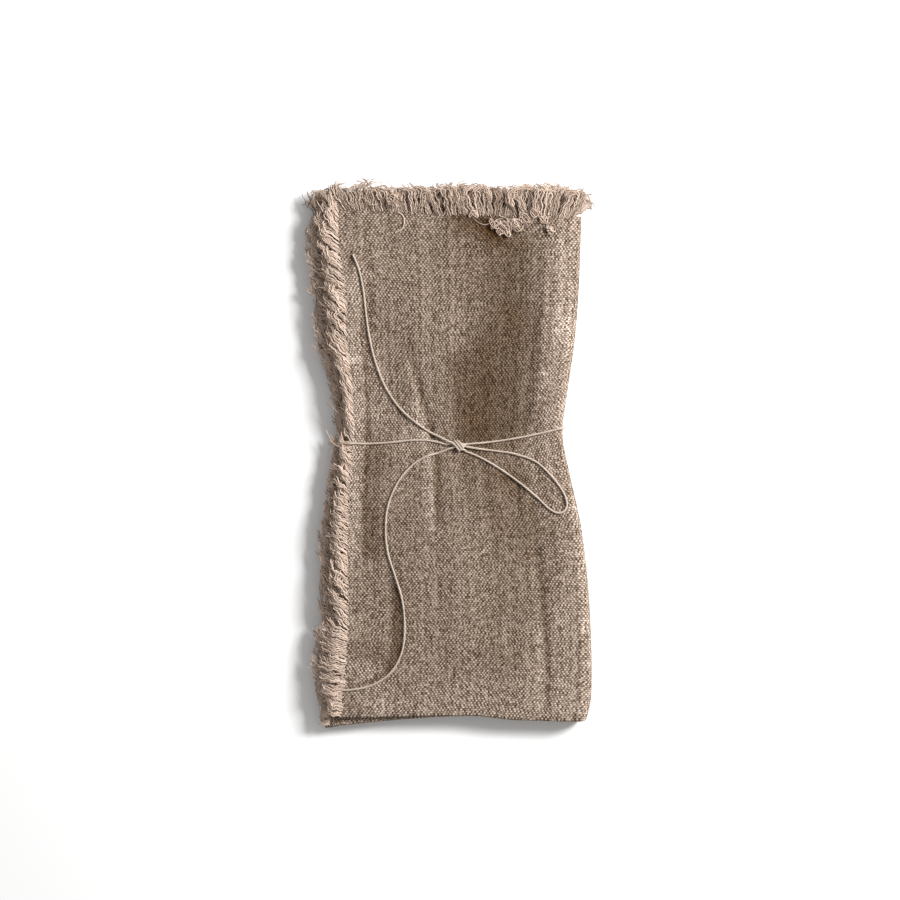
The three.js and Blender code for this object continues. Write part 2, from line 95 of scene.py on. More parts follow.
# The waist, drawn in by the tie: the groove below, the bite on top, and the tie's line across
WAIST_Y = 7.0
WAIST_REACH = 45.0
GROOVE = 1.75
GROOVE_REACH = 4.5
BITE = 0.5
BITE_REACH = 4.0
KNOT_X = 3.7
KNOT_Y = 4.0
BAND_SLOPE_LEFT = -0.02
BAND_SLOPE_RIGHT = 0.07
BAND_BOW = 0.0019

# How far tie and bottom folds draw in what stands out at the left, and the left fringe's droop
TIE_PRESS = 0.4
TIE_PRESS_REACH = 26
FOLD_PRESS = 0.35
FOLD_PRESS_REACH = 16
FRINGE_DROOP = 0.9
FRINGE_REACH = 14.0

# Where the settled cloth's left and right edges run, and how high its top surface stands at the
# left edge, in the middle and beside the round fold
Y, LEFT, RIGHT, LEFT_HEIGHT, MIDDLE_HEIGHT, RIGHT_HEIGHT = range(6)
OUTLINE = np.array([
    [-126, -52, 64.8, 10.2, 11.8, 12.2],
    [-117, -50.8, 67, 10.4, 12.1, 12.5],
    [-108, -49.6, 67.6, 10.6, 12.4, 12.8],
    [-84, -48.4, 67.2, 10.8, 12.7, 13.2],
    [-58, -48.6, 65.6, 10.6, 12.5, 13],
    [-32, -48.2, 62.2, 10.2, 12, 12.4],
    [-10, -47, 57.4, 9.9, 11, 11.4],
    [9, -45.8, 53.9, 9.7, 10.2, 10.4],
    [28, -46, 56, 9.8, 11, 11.6],
    [52, -48.8, 59.4, 10.4, 12, 12.6],
    [76, -49.6, 61.4, 10.6, 12.4, 13],
    [97, -52.4, 62.3, 10.4, 12.2, 12.8],
    [113, -53.4, 62.8, 10, 11.6, 12],
    [128, -53.6, 63.2, 8.8, 10, 10.4],
])

# Soft troughs and, with a depth below nought, ridges: from x, y, to x, y, reach, depth.
# The first nine are the solids' own; the rest are the finer ones that only the looks have.
CREASES = [
    [20, 108, 17, 18, 14, 1.5],
    [50, 104, 46, 24, 9, -1],
    [-48, 84, -45, 16, 10, -0.8],
    [-37, 84, -34, 14, 8, 0.5],
    [-14, 66, -5, 14, 9, -0.6],
    [32, -8, 44, -96, 10, 0.6],
    [4, -14, 8, -88, 10, -0.5],
    [-47, -14, -48, -100, 7, -0.7],
    [-35, -14, -31, -78, 8, 0.5],
    [-39.2, 78, -37.8, 6, 1.8, 0.6],
    [-38.2, -2, -39.6, -44, 1.9, 0.55],
    [-44.6, 70, -43.6, 14, 4, -0.5],
    [-44.4, -2, -45.2, -46, 4, -0.6],
    [-20, 55, -16.2, 41, 1.8, 0.5],
    [-16.2, 41, -7.3, 8, 1.7, 0.8],
    [-19, 38, -13.6, 9, 3.8, -0.7],
    [-5.6, 1, -4.3, -34, 1.7, 0.6],
    [-10, -2, -9, -38, 3.2, -0.5],
    [46.4, 96, 43.9, 38, 1.8, -0.35],
    [43.9, 38, 39.2, 12, 1.9, -0.4],
    [38.9, -20, 41.5, -47, 1.9, 0.6],
    [41.5, -47, 47.2, -118, 1.9, 0.6],
    [52, -40, 56, -110, 5, -0.4],
    [17.2, -6, 20.8, -50, 2, 0.4],
    [23.7, -74, 26.6, -118, 2.2, 0.35],
    [13, -8, 15.5, -34, 2.4, -0.3],
    [36.5, -15, 39.5, -34, 3, -0.45],
    [30, -14, 33, -44, 3.4, 0.35],
    [36, 70, 37.5, 12, 3.4, 0.35],
    [44, 60, 42.5, 14, 2.6, -0.3],
    [8, 10, 12, 46, 3, -0.3],
    [1, 10, 0, 40, 2.4, 0.25],
    [-41.5, -12, -40, -36, 2.4, 0.3],
    [-12, -50, -14, -104, 4, 0.25],
    [24, -60, 22, -112, 5, 0.25],
    [-30, 100, -12, 92, 6, 0.2],
    [-26.5, -60, -25.5, -94, 3, 0.5],
]

# Painted shade and painted light on the cloth's colour: darker in its creases and troughs, beside
# the twine where its shadow falls and under the fringe and tangles, and, with a share below nought,
# brighter on ridges that face the light: from x, y, to x, y, reach, share
PAINTED_SHADE_AND_LIGHT = [
    [4, 112, 24, 106, 6, 0.4],
    [-44, 108, -40, 84, 9, -0.1],
    [24, 104, 33, 84, 9, 0.28],
    [8, 96, 28, 62, 15, 0.24],
    [27, 82, 21, 58, 9, 0.22],
    [17, 46, 14, 10, 11, 0.5],
    [30, 68, 30, 44, 5, 0.12],
    [28, 34, 30, -16, 6, 0.22],
    [46, 6, 48, -8, 4, -0.25],
    [33, 66, 35, 10, 8, 0.28],
    [10, 2, 27, -30, 12, 0.28],
    [16, -38, 18, -54, 6, -0.12],
    [-20, -112, 30, -112, 12, -0.1],
    [34, -20, 37, -46, 4, 0.14],
    [29, -44, 27, -94, 11, 0.18],
    [-36, -2, -36, -46, 5, 0.24],
    [-30, -120, 58, -122, 8, -0.12],
    [-45.5, 86, -45.2, 46, 4.2, -0.3],
    [-45, 46, -44.6, 6, 4.2, -0.5],
    [-45, 3, -46, -46, 4.2, -0.44],
    [-46, -46, -46, -96, 4, -0.12],
    [-34, 60, -33, 10, 4, -0.2],
    [-39.9, 80, -38.8, 40, 1.4, 0.26],
    [-38.9, 40, -37.9, 3, 1.3, 0.3],
    [-38.5, 1, -39.8, -20, 1.4, 0.3],
    [-39.8, -20, -40.4, -44, 1.4, 0.28],
    [-20, 55, -16.4, 41, 1.5, 0.3],
    [-16.4, 41, -13.1, 30, 1.2, 0.45],
    [-13.1, 30, -7.5, 8, 1.2, 0.52],
    [-19.2, 40, -13.8, 8, 4.6, -0.5],
    [-5.6, 1, -4.8, -32, 1.2, 0.55],
    [-9.4, 0, -8.6, -34, 2.6, -0.32],
    [46.4, 98, 45.9, 68, 1.6, -0.12],
    [45.9, 68, 43.9, 38, 1.3, -0.38],
    [43.8, 38, 39, 8, 1.8, -0.5],
    [39, 0, 40.7, -15, 1.8, -0.3],
    [46.6, 62, 45.6, 40, 1.1, 0.16],
    [41.5, 64, 39, 38, 2, 0.1],
    [53, 100, 54, 60, 6, -0.34],
    [54, 60, 50, 16, 6, -0.4],
    [57, 30, 53.5, 12, 3, -0.15],
    [60, -24, 65.5, -80, 4.5, -0.26],
    [65.5, -80, 65.5, -122, 4.5, -0.28],
    [38.9, -22, 41.5, -47, 1.3, 0.38],
    [41.5, -47, 45.6, -81, 1.3, 0.34],
    [45.6, -81, 47.2, -119, 1.3, 0.36],
    [42, -84, 42, -116, 5, -0.26],
    [50.5, -74, 52.5, -116, 5, -0.34],
    [25.9, -76, 27.3, -93, 1.1, -0.5],
    [17.2, -6, 20.8, -50, 1.7, 0.12],
    [23, -74, 24, -118, 1.8, 0.1],
    [-24.4, -64, -24.2, -90, 2.6, 0.52],
    [-23.8, -92, -28.4, -101.2, 1.9, 0.55],
    [-28.8, -102, -37, -107, 1.5, 0.4],
    [-37, -107, -46, -109.2, 1.3, 0.32],
    [-42, -106, -34, -116, 7, -0.32],
    [-46, -90, -30, -94, 5, 0.16],
    [6, 108, 22, 107, 6, 0.26],
    [20, 101, 36, 97, 6, 0.34],
    [19, 108, 20, 107, 4, 0.25],
    [35, 109, 38, 107, 4, 0.22],
    [4, 42, 6, 16, 7, 0.34],
    [-21, 42, -18, 26, 3.5, 0.3],
    [26, -11, 36, -12, 4.5, 0.34],
    [52, -50, 53, -84, 5, -0.14],
    [50, -110, 54, -114, 4, -0.18],
    [-36, -101, -36, -103, 4, -0.25],
    [-44, 20, -28, 20, 7, -0.12],
    [-46, -12, -38, -12, 4, -0.16],
    [3, 18, 6, 6, 4, -0.16],
    [36, 10, 38, 4, 4, -0.14],
    [-20, 10, -20, 5, 4, -0.16],
    [20, 36, 20, 6, 5, 0.2],
    [28, 40, 28, 8, 4, 0.12],
    [52, 44, 50, 26, 4, 0.18],
    [-32, 8, -30, -4, 5, 0.2],
    [-35, -28, -36, -46, 4, 0.18],
    [-33, 66, -32, 50, 4, 0.16],
    [-45.4, 95, -46.5, 85, 1.2, 0.45],
]

# The cloth's grid: its steps on the top layer and on the hidden ones, and the parts of its folds
FINE_STEP = 1.25
COARSE_STEP = 4.0
OUTER_ARC_PARTS = 12
SMALL_ARC_PARTS = 6
HEM_ARC_PARTS = 8

# How far over the table each stuff stays
CLOTH_GAP = 0.01
TWINE_GAP = 0.02
THREAD_GAP = 0.05

# A thread: its radius, how much that varies, and how it thins to its tip
THREAD_RADIUS = 0.28
RADIUS_SPREAD = (0.8, 1.15)
TIP_THINNER = 0.35
TIP_POWER = 8
THREAD_SIDES = 3
THREAD_STEPS = 30

# How a thread swings, is crimped, curls and rises
WAVE_SWING = 0.42
WAVE_LENGTH = 5.6
WAVE_GROWTH = 3
CRIMP = 0.14
CRIMP_LENGTH = 2.0
CRIMP_LIFT = 0.5
CURL_START = 0.5
RISE_MIDDLE = 0.55
RISE_EARLY = 0.8
RISE_END = 0.6
RISE_GROWTH = 1.6

# Threads hold together in tufts: how many, and how far each differs in place, heading, swing and
# curl, and the least share of the way in at which it starts to lie loose
TUFT_LEAST = 4
TUFT_MOST = 8
PLACE_SPREAD = 0.1
HEADING_SPREAD = 0.07
PHASE_SPREAD = 0.35
TURN_SPREAD = 0.3
LEAST_START = 0.15

# The left fringe: its length, how its threads lean up, more so at the top corner, and curl
LEFT_THREAD = 12.8
LEFT_PAST = 1.5
LEFT_LEAN = 0.72
LEFT_LEAN_SWING = 0.16
LEFT_LEAN_REACH = 19
CORNER_LEAN = 0.35
CORNER_FROM = 98
CORNER_REACH = 12
LEFT_TURN = -1.5
LEFT_TURN_SPREAD = 0.7

# Its threads lie more level below the waist and down at the bottom corner, and the tie presses
# them flat
WAIST_LEVEL = 0.75
WAIST_LEVEL_REACH = 11
WAIST_FLAT = 0.85
WAIST_FLAT_REACH = 6
LEVEL_LEAN = 0.1
LEVEL_BELOW = -104
LEVEL_REACH = 36

# The left fringe's length, as a share of its usual one: y, share
LEFT_REACH = np.array([
    [-124, 0.75],
    [-116, 1.05],
    [-106, 1],
    [-87, 0.9],
    [-50, 0.85],
    [-31, 0.8],
    [2, 0.9],
    [16, 0.8],
    [35, 0.9],
    [54, 1.1],
    [91, 1],
    [104, 1.1],
    [110, 0.85],
    [117, 0.7],
])

# The top fringe: its length, how its threads lean, fanned out at the left corner and turned the
# other way at the right one, and curl
TOP_THREAD = 16.3
CLIMB_SHORTER = 0.75
TOP_BEFORE = 0.5
TOP_PAST = 1.5
TOP_LEAN = 0.12
TOP_PACK_FAN = 0.5
LOWER_FAN = 0.1
FAN_FROM = -32
FAN_REACH = 18
RIGHT_LEAN = 0.56
RIGHT_LEAN_FROM = 26
RIGHT_LEAN_REACH = 30
TOP_LEAN_SWING = 0.12
TOP_LEAN_REACH = 5
TOP_TURN = (0.9, 2.6)

# How much longer the top fringe is than its usual length: x, millimetres
TOP_REACH = np.array([
    [-56, 0.3],
    [-46, 1],
    [-34, 1],
    [-20, 0],
    [-4, 0.6],
    [10, 0.8],
    [28, -0.8],
    [34, -0.6],
    [40, 1],
    [52, 1],
    [58, -0.6],
])

# Where each fringe points, which way a lean turns it and how its tufts gather; then how far its
# tufts differ in lean, length and rise, and each thread in its own length
LEFT_WAYS = [math.pi, -1, 0.03, 0.1, 0.6, 0.3, 0.3]
TOP_WAYS = [math.pi / 2, 1, -0.04, 0.2, 0.8, 0.4, 0.15]

# How pale the threads of a row are, from and to, and how much paler its right end is
PALE = (0.5, 1.0)
EVEN = (0.14, 0.86)
DULL = (0.1, 0.75)
PALER_END = 0.13
PALER_FROM = 28
PALER_REACH = 20
LOOSE_TONES = (0.35, 0.9)

# Left fringe rows: number, level, side, where the edge lies, thread spacing, puff, how far inside
# the edge the threads start to lie loose, and how pale they are
LEFT_ROWS = [
    [1, 4, 1, TOP_ROOT_X, 0.38, 2.2, 1.8, PALE],
    [2, 4, -1, TOP_ROOT_X, 0.6, 1.6, 0.5, PALE],
    [3, 3, 1, SECOND_ROOT_X, 0.5, 0.9, 0.5, PALE],
    [4, 3, -1, SECOND_ROOT_X, 0.7, 0.3, 0.5, PALE],
]

# The top ones: number, level, side, from x, to x, thread spacing, puff, how far inside, how pale
TOP_ROWS = [
    [1, 4, 1, TOP_ROOT_X, OUTER_FOLD_X, 0.38, 1.6, 1.9, EVEN],
    [2, 4, -1, TOP_ROOT_X, OUTER_FOLD_X, 0.42, 1.0, 0.5, EVEN],
    [3, 3, 1, SECOND_ROOT_X, INNER_FOLD_X, 0.5, 0.7, 0.5, DULL],
    [4, 3, -1, SECOND_ROOT_X, INNER_FOLD_X, 0.6, 0.5, 0.5, DULL],
    [5, 2, 1, HIDDEN_FOLD_X, INNER_FOLD_X, 0.9, 0.4, 0.5, DULL],
    [6, 2, -1, HIDDEN_FOLD_X, INNER_FOLD_X, 1.0, 0.3, 0.5, DULL],
    [7, 1, 1, HIDDEN_FOLD_X, OUTER_FOLD_X, 1.0, 0.2, 0.5, DULL],
    [8, 1, -1, HIDDEN_FOLD_X, OUTER_FOLD_X, 1.0, 0.0, 0.5, DULL],
]

# Tangled bits of thread on the cloth and the top fringe: x, y, reach, threads
TANGLES = [
    [26.6, 106.4, 4.6, 22],
    [31.5, 108.6, 3.6, 12],
    [22, 108.6, 3, 8],
    [36, 110.4, 3.2, 11],
    [47.2, 105.4, 2.6, 13],
    [44.5, 109.5, 2.4, 6],
    [-26.5, 119.6, 3.2, 12],
    [40.5, 113, 2.6, 6],
    [12, 113, 2.4, 3],
]

# How a tangle's threads loop and how high they lie
TANGLE_SPEED = (4.0, 9.0)
TANGLE_SIZE = (0.35, 0.75)
TANGLE_LOW = 0.35
TANGLE_PILE = 1.1
TANGLE_WAVE = 0.4
TANGLE_WAVE_SPEED = 9

# Single stray threads that lie on the cloth, each through a few places
STRAYS = [
    [[11, 111.4], [14, 108.8], [17.4, 107.8], [20.2, 109.4], [19.6, 112.8]],
    [[42, 108.6], [46, 108.2], [49.6, 110], [51.8, 113.2]],
    [[-25.1, 103.9], [-21.8, 106], [-20.8, 108.8], [-21.4, 112], [-23.8, 113.7]],
    [[-57.1, 24.4], [-53.3, 20.7], [-49.6, 18.3], [-47.7, 19.7]],
    [[-53.3, 37.1], [-50.5, 29.1]],
    [[-57.6, 11.3], [-54.3, 5.2], [-47.7, 1.9]],
    [[-40.4, 120.6], [-37.8, 118.8], [-35.8, 117], [-33, 117.6]],
    [[24, 112], [29, 110], [33, 107.4], [36, 104.6]],
]
STRAY_LIFT = 0.45

# Past these lines the loose threads lie on the fringe, which is higher
TANGLE_EDGE_Y = 111
STRAY_EDGE_Y = 113
FRINGE_STEP = 1.6
FRINGE_STEP_REACH = 4

# Where the chance values of each row and of the loose threads start
LEFT_SEED = 10
TOP_SEED = 30
TUFT_SEED = 50
STRAND_SEED = 100
ROW_SEED = 150
LOOSE_SEED = 71

# The tie's routes, the same points as the solids': x, y, then how far over the top surface, or
# the height from the table where it has left the top surface
OVER = 0
TABLE = 1
BAND_ROUTE = [
    [-0.6, 4.4, OVER, 1],
    [-8, 6.2, OVER, 0.95],
    [-17, 6.5, OVER, 0.95],
    [-27, 5.5, OVER, 0.95],
    [-37, 4.9, OVER, 1],
    [-43.4, 5, OVER, 1.25],
    [-47.2, 5, TABLE, 10.8],
    [-50.8, 5, TABLE, 9],
    [-54, 5, TABLE, 6.7],
    [-56.2, 5, TABLE, 4.6],
    [-56.7, 5, TABLE, 2.9],
    [-55.6, 5, TABLE, 1.2],
    [-53.2, 5, TABLE, 0.56],
    [-44, 5, TABLE, 0.53],
    [-29, 4.7, TABLE, 0.53],
    [-14, 4.4, TABLE, 0.53],
    [1, 4.1, TABLE, 0.53],
    [16, 5.2, TABLE, 0.53],
    [31, 7.3, TABLE, 0.53],
    [43, 9.7, TABLE, 0.53],
    [49, 11.1, TABLE, 0.54],
    [52.6, 12, TABLE, 1.3],
    [54.4, 12.4, TABLE, 3.3],
    [55, 12.5, TABLE, 5.8],
    [54.4, 12.4, TABLE, 8.4],
    [52.4, 12, TABLE, 10.4],
    [49, 11.1, OVER, 1],
    [42, 9.5, OVER, 0.95],
    [32, 7.5, OVER, 1],
    [20, 5.7, OVER, 0.95],
    [7.9, 4.6, OVER, 1],
]
LOOP_ROUTE = [
    [7.9, 3.6, OVER, 2.1],
    [13.5, 2.6, OVER, 1.4],
    [22, 1.5, OVER, 0.95],
    [31, 0.1, OVER, 0.95],
    [40.7, -3.4, OVER, 0.95],
    [48, -9.9, OVER, 0.95],
    [53.6, -17.4, OVER, 0.95],
    [55.6, -23, OVER, 0.95],
    [54.4, -26.6, OVER, 0.95],
    [51.2, -27.6, OVER, 0.95],
    [47.2, -25.6, OVER, 0.95],
    [42, -20.7, OVER, 0.95],
    [33.6, -13.6, OVER, 0.95],
    [24, -6.8, OVER, 0.95],
    [15, -1.6, OVER, 0.95],
    [7.6, 1.5, OVER, 1],
]
UPPER_ROUTE = [
    [-0.5, 6.2, OVER, 2.1],
    [-4.4, 8.2, OVER, 1.4],
    [-9.6, 10.8, OVER, 0.95],
    [-16.4, 15.6, OVER, 0.95],
    [-23.4, 22.2, OVER, 0.95],
    [-29.8, 31.8, OVER, 0.95],
    [-34.4, 43.4, OVER, 1.05],
    [-37.2, 55, OVER, 1.05],
    [-38.8, 66, OVER, 1.05],
    [-40, 76.6, OVER, 1],
    [-42, 86.4, OVER, 1],
    [-45, 94, OVER, 0.95],
]
LOWER_ROUTE = [
    [-0.5, 2.2, OVER, 1.4],
    [-4.8, 0.6, OVER, 0.95],
    [-10.6, -1.2, OVER, 0.95],
    [-16.6, -4.8, OVER, 0.95],
    [-23.4, -12.6, OVER, 0.95],
    [-28.2, -23.4, OVER, 0.95],
    [-29.6, -34.6, OVER, 0.95],
    [-28.6, -46, OVER, 0.95],
    [-25.2, -57, OVER, 0.95],
    [-21.8, -68.4, OVER, 0.95],
    [-20.6, -80.4, OVER, 0.95],
    [-21.8, -92.6, OVER, 0.95],
    [-27, -102.4, OVER, 0.95],
    [-36, -108.6, OVER, 0.95],
    [-46, -110.8, OVER, 1.1],
    [-53.6, -110.9, OVER, 1.1],
]

# The twine: how thick, how finely cut, how far it sinks into the cloth
TWINE = 1.0
TWINE_STEP = 0.35
TWINE_SIDES = 12
TWINE_SINK = 0.42

# Its plies: how many, how far apart they show, and the share of the radius that core, ply and
# cut ends have
PLIES = 3
TWINE_LAY = 2.4
CORE_RADIUS = 0.82
PLY_RADIUS = 0.22
END_RADIUS = 0.4

# How the twine swells: how much, over what length, how far shifted
SLUBS = [
    [0.08, 3.1, 0],
    [0.06, 1.3, 2],
]

# The knot's strands: each a few points, with heights over the cloth's top
KNOT_STRANDS = [
    [[-1.2, 4.6, 0.7], [1.6, 5, 1.2], [4, 4.9, 1.7], [6.6, 4.6, 1.4], [8.6, 4.6, 0.7]],
    [[-1.2, 2.2, 0.9], [1.4, 2.8, 1.4], [3.6, 3.5, 1.7], [6.2, 3.8, 1.7], [8.8, 3.5, 1.6]],
    [[8.4, 1.4, 0.8], [6.4, 2.4, 1.5], [4.4, 3.7, 2], [2, 5.2, 2], [-1, 6.3, 1.8]],
    [[2.4, 6.4, 0.7], [3.4, 5.6, 2.2], [4.6, 4.3, 2.9], [5.5, 3, 2.3], [6.2, 1.7, 0.7]],
    [[1.8, 4.9, 0.7], [2.6, 4.4, 1.9], [3.7, 3.4, 2.7], [4.7, 2.1, 1.9], [5.2, 1.2, 0.6]],
    [[3.6, 6.6, 0.6], [4.8, 5.8, 2], [5.9, 4.6, 2.5], [6.6, 3.3, 2.1], [7, 2.3, 0.9]],
]
KNOT_SINK = 0.1

# Lines: fine parts for each point, and how near upright a thread or a cord may run before its
# cross-section follows a fixed direction
PARTS_PER_POINT = 40
UPRIGHT_THREAD = 0.05
UPRIGHT_CORD = 0.2
TINY = 1e-6

# Colours, dark to light: place on the scale, then red, green and blue
LINEN_COLOURS = [
    (0.0, (0.045, 0.027, 0.014)),
    (0.5, (0.172, 0.124, 0.092)),
    (1.0, (0.43, 0.344, 0.28)),
]
THREAD_COLOURS = [
    (0.28, (0.17, 0.108, 0.072)),
    (0.86, (0.78, 0.62, 0.51)),
]
TWINE_COLOURS = [
    (0.15, (0.2, 0.148, 0.112)),
    (0.9, (0.67, 0.56, 0.47)),
]

# Painted shade is warmer as well as darker: its tint is its brightness times a colour, plus another
SHADE_TINT_TIMES = (0.96, 1.08, 1.22)
SHADE_TINT_PLUS = (0.04, -0.08, -0.22)

# The weave: millimetres from thread to thread, how far its rows slip and its lines sway, and
# how strongly its floats stand out
WEAVE_ACROSS = 0.78
WEAVE_DOWN = 0.98
ROW_SLIP = 0.55
SWAY = 3.0
FLOAT_SHARE = 0.4

# Soft noises that sway the weave's lines and zone its floats: how fast each changes across and
# down, and the layer it is cut from
SWAY_ACROSS = (0.07, 0.14, 0.0)
SWAY_DOWN = (0.14, 0.07, 7.0)
ZONE = (0.06, 0.06, 5.0)
NOISE_DETAIL = 2.0

# Soft noises that lighten it, dashes along the threads, streaks and a mottle: the two lines that
# each follows, how fast it changes across and down, its layer, and how much it counts
LIGHTER = [
    ["u", "weft", 0.5, 3.7, 6.0, 1.0],
    ["warp", "v", 3.7, 0.5, 8.0, 0.6],
    ["u", "v", 0.55, 0.012, 2.0, 0.3],
    ["u", "v", 0.012, 0.6, 4.0, 0.1],
    ["u", "v", 0.06, 0.06, 9.0, 0.08],
]

# How much the rows, each crossing's own grain and each warp thread's own tone count, how much
# darker it is as a whole, and which lines of specks the slip and the warp threads use
ROW_SHARE = 0.42
GRAIN_SHARE = 0.5
WARP_SHARE = 0.2
DARKER = -1.17
SLIP_LINE = 9.0
WARP_LINE = 3.0

# The linen's relief: its depth in metres, its strength, and how much grain and floats count
RELIEF_DEPTH = 0.0002
RELIEF_STRENGTH = 0.5
GRAIN_RELIEF = 0.3
FLOAT_RELIEF = 2.0

# A thread's colour: the length of its twist, and how much twist, own tone and patches count
RIB_LENGTH = 0.8
RIB_SHARE = 0.08
TONE_SHARE = 0.55
THREAD_PATCH = (97.0, 0.5, 0.0)
THREAD_PATCH_SHARE = 0.5

# The twine's colour: how much the painted shade between its plies and its patches count
PLY_SHADE_SHARE = 0.6
TWINE_PATCH = (1.5, 0.35, 0.0)
TWINE_PATCH_SHARE = 0.5

# The picture: its width and middle on the table, the camera's height over it and its sensor
PICTURE_WIDTH = 423.0
PICTURE_MIDDLE = [0.7, 1.9, 11.0]
CAMERA_HEIGHT = 1300.0
SENSOR = 36.0

# The room, in metres and watts
TABLE_SIZE = 6.0
TABLE_COLOUR = (0.9, 0.9, 0.9, 1.0)
LIGHT_PLACE = (0.82, 0.42, 0.72)
LIGHT_SIZE = 0.4
LIGHT_POWER = 24.0
SKY_COLOUR = (1.0, 0.99, 0.98, 1.0)
SKY_STRENGTH = 0.46

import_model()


# Shape of the settled stack


def bell(distance, reach):
    return np.exp(-((distance / reach) ** 2))


def smooth(value):
    t = np.clip(value, 0, 1)
    return t * t * (3 - 2 * t)


def along(y, column):
    """A smooth curve through one column of the outline table."""
    ys = OUTLINE[:, Y]
    values = OUTLINE[:, column]
    last = len(ys) - 1
    slopes = np.empty(len(ys))
    slopes[1:-1] = (values[2:] - values[:-2]) / (ys[2:] - ys[:-2])
    slopes[0] = (values[1] - values[0]) / (ys[1] - ys[0])
    slopes[-1] = (values[-1] - values[-2]) / (ys[-1] - ys[-2])
    i = np.clip(np.searchsorted(ys, y, side="left") - 1, 0, last - 1)
    span = ys[i + 1] - ys[i]
    t = np.clip((y - ys[i]) / span, 0, 1)
    start = values[i] * (1 + 2 * t) * (1 - t) ** 2 + slopes[i] * span * t * (1 - t) ** 2
    end = values[i + 1] * t * t * (3 - 2 * t) - slopes[i + 1] * span * t * t * (1 - t)
    return start + end


def band_y(x):
    """Where the tie crosses the napkin, at each x."""
    away = x - KNOT_X
    right = BAND_SLOPE_RIGHT * away + BAND_BOW * away * away
    return KNOT_Y + np.where(away < 0, BAND_SLOPE_LEFT * away, right)


def distance_to_line(x, y, from_x, from_y, to_x, to_y):
    dx = to_x - from_x
    dy = to_y - from_y
    share = np.clip(((x - from_x) * dx + (y - from_y) * dy) / (dx * dx + dy * dy), 0, 1)
    return np.hypot(x - from_x - share * dx, y - from_y - share * dy)


def top_height(x, y):
    """The height of the settled top surface over the table."""
    left = along(y, LEFT)
    right = along(y, RIGHT)
    share = np.clip((x - left) / (right - left), 0, 1)
    low = along(y, LEFT_HEIGHT)
    middle = along(y, MIDDLE_HEIGHT)
    high = along(y, RIGHT_HEIGHT)
    height = low * (1 - share) * (1 - 2 * share) + 4 * middle * share * (1 - share)
    height = height + high * share * (2 * share - 1)
    for *line, reach, depth in CREASES:
        height = height - depth * bell(distance_to_line(x, y, *line), reach)
    height = height - BITE * bell(y - band_y(x), BITE_REACH)
    return height - FRINGE_DROOP * smooth((left - x) / FRINGE_REACH)


def painted_shade_and_light_at(x, y):
    """How bright the cloth's colour is made at a place, against its usual brightness, with painted
    shade and painted light.
    """
    bright = np.ones(np.broadcast(x, y).shape)
    for *line, reach, share in PAINTED_SHADE_AND_LIGHT:
        bright = bright * (1 - share * bell(distance_to_line(x, y, *line), reach))
    return bright


def settle(x, y, z):
    """Moves points of the flat stack to their settled places."""
    waist = bell(y - WAIST_Y, WAIST_REACH)
    settled_y = y + (band_y(x) - WAIST_Y) * waist
    left = along(settled_y, LEFT)
    right = along(settled_y, RIGHT)
    squeeze = 1 - TIE_PRESS * bell(settled_y - band_y(left), TIE_PRESS_REACH)
    squeeze = squeeze - FOLD_PRESS * bell(settled_y - BOTTOM_Y, FOLD_PRESS_REACH)
    within = left + (x - TOP_ROOT_X) * (right - left) / (RIGHT_EDGE_X - TOP_ROOT_X)
    settled_x = np.where(x < TOP_ROOT_X, left + (x - TOP_ROOT_X) * squeeze, within)
    lift = GROOVE * bell(settled_y - band_y(settled_x), GROOVE_REACH)
    top = top_height(settled_x, settled_y)
    return np.stack([settled_x, settled_y, lift + z * (top - lift) / STACK], axis=-1)


def lower_shift(x, y):
    """How far the lower packs are turned down, at a place of the flat stack."""
    away = smooth((np.abs(y - WAIST_Y) - SKEW_START) / SKEW_REACH)
    share = np.maximum(0, (OUTER_FOLD_X - x) / (OUTER_FOLD_X - TOP_ROOT_X))
    return -LOWER_SKEW * away * share ** SKEW_POWER


def level_height(level):
    return (STACK - (2 * PACKS - 2) * PITCH - PITCH) / 2 + PITCH / 2 + (level - 1) * 2 * PITCH


def top_climb(x):
    """The top edge climbs towards the left corner."""
    return TOP_CLIMB * smooth((CLIMB_FROM - x) / CLIMB_REACH)


def top_edge(x, side):
    return TOP_Y + top_climb(x) + side * EDGE_STEP + EDGE_WAVE * np.sin(x / TOP_WAVE_REACH + side)


def bottom_edge(x):
    drop = BOTTOM_DROP * smooth((x - DROP_FROM) / DROP_REACH)
    return BOTTOM_Y + EDGE_WAVE * np.sin(x / BOTTOM_WAVE_REACH + BOTTOM_WAVE_SHIFT) - drop


def facing(level):
    """Whether a level's pack lies with its front layer up."""
    return 1 if level % 2 == 0 else -1


def to_scene(points):
    return (np.asarray(points) - [MIDDLE_X, MIDDLE_Y, 0.0]) * 0.001


# Meshes


def put(name, data):
    """A new object in the scene."""
    piece = bpy.data.objects.new(name, data)
    bpy.context.scene.collection.objects.link(piece)
    return piece


def make_mesh(name, points, faces, uv, material, painted_shade=None):
    """One mesh piece from table points, faces, a place in the material for each point and any painted
    shade.
    """
    mesh = bpy.data.meshes.new(name)
    mesh.from_pydata(to_scene(points).tolist(), [], faces.tolist())
    layer = mesh.uv_layers.new(name="material")
    corners = np.empty(len(mesh.loops), dtype=np.int32)
    mesh.loops.foreach_get("vertex_index", corners)
    layer.data.foreach_set("uv", uv[corners].astype(np.float32).ravel())
    mesh.polygons.foreach_set("use_smooth", np.ones(len(mesh.polygons), dtype=bool))
    # Painted shade and painted light, kept as a value for each point
    if painted_shade is not None:
        painted_shade_values = mesh.attributes.new("painted_shade", "FLOAT", "POINT")
        painted_shade_values.data.foreach_set("value", painted_shade.astype(np.float32))
    mesh.materials.append(material)
    mesh.update()
    return put(name, mesh)


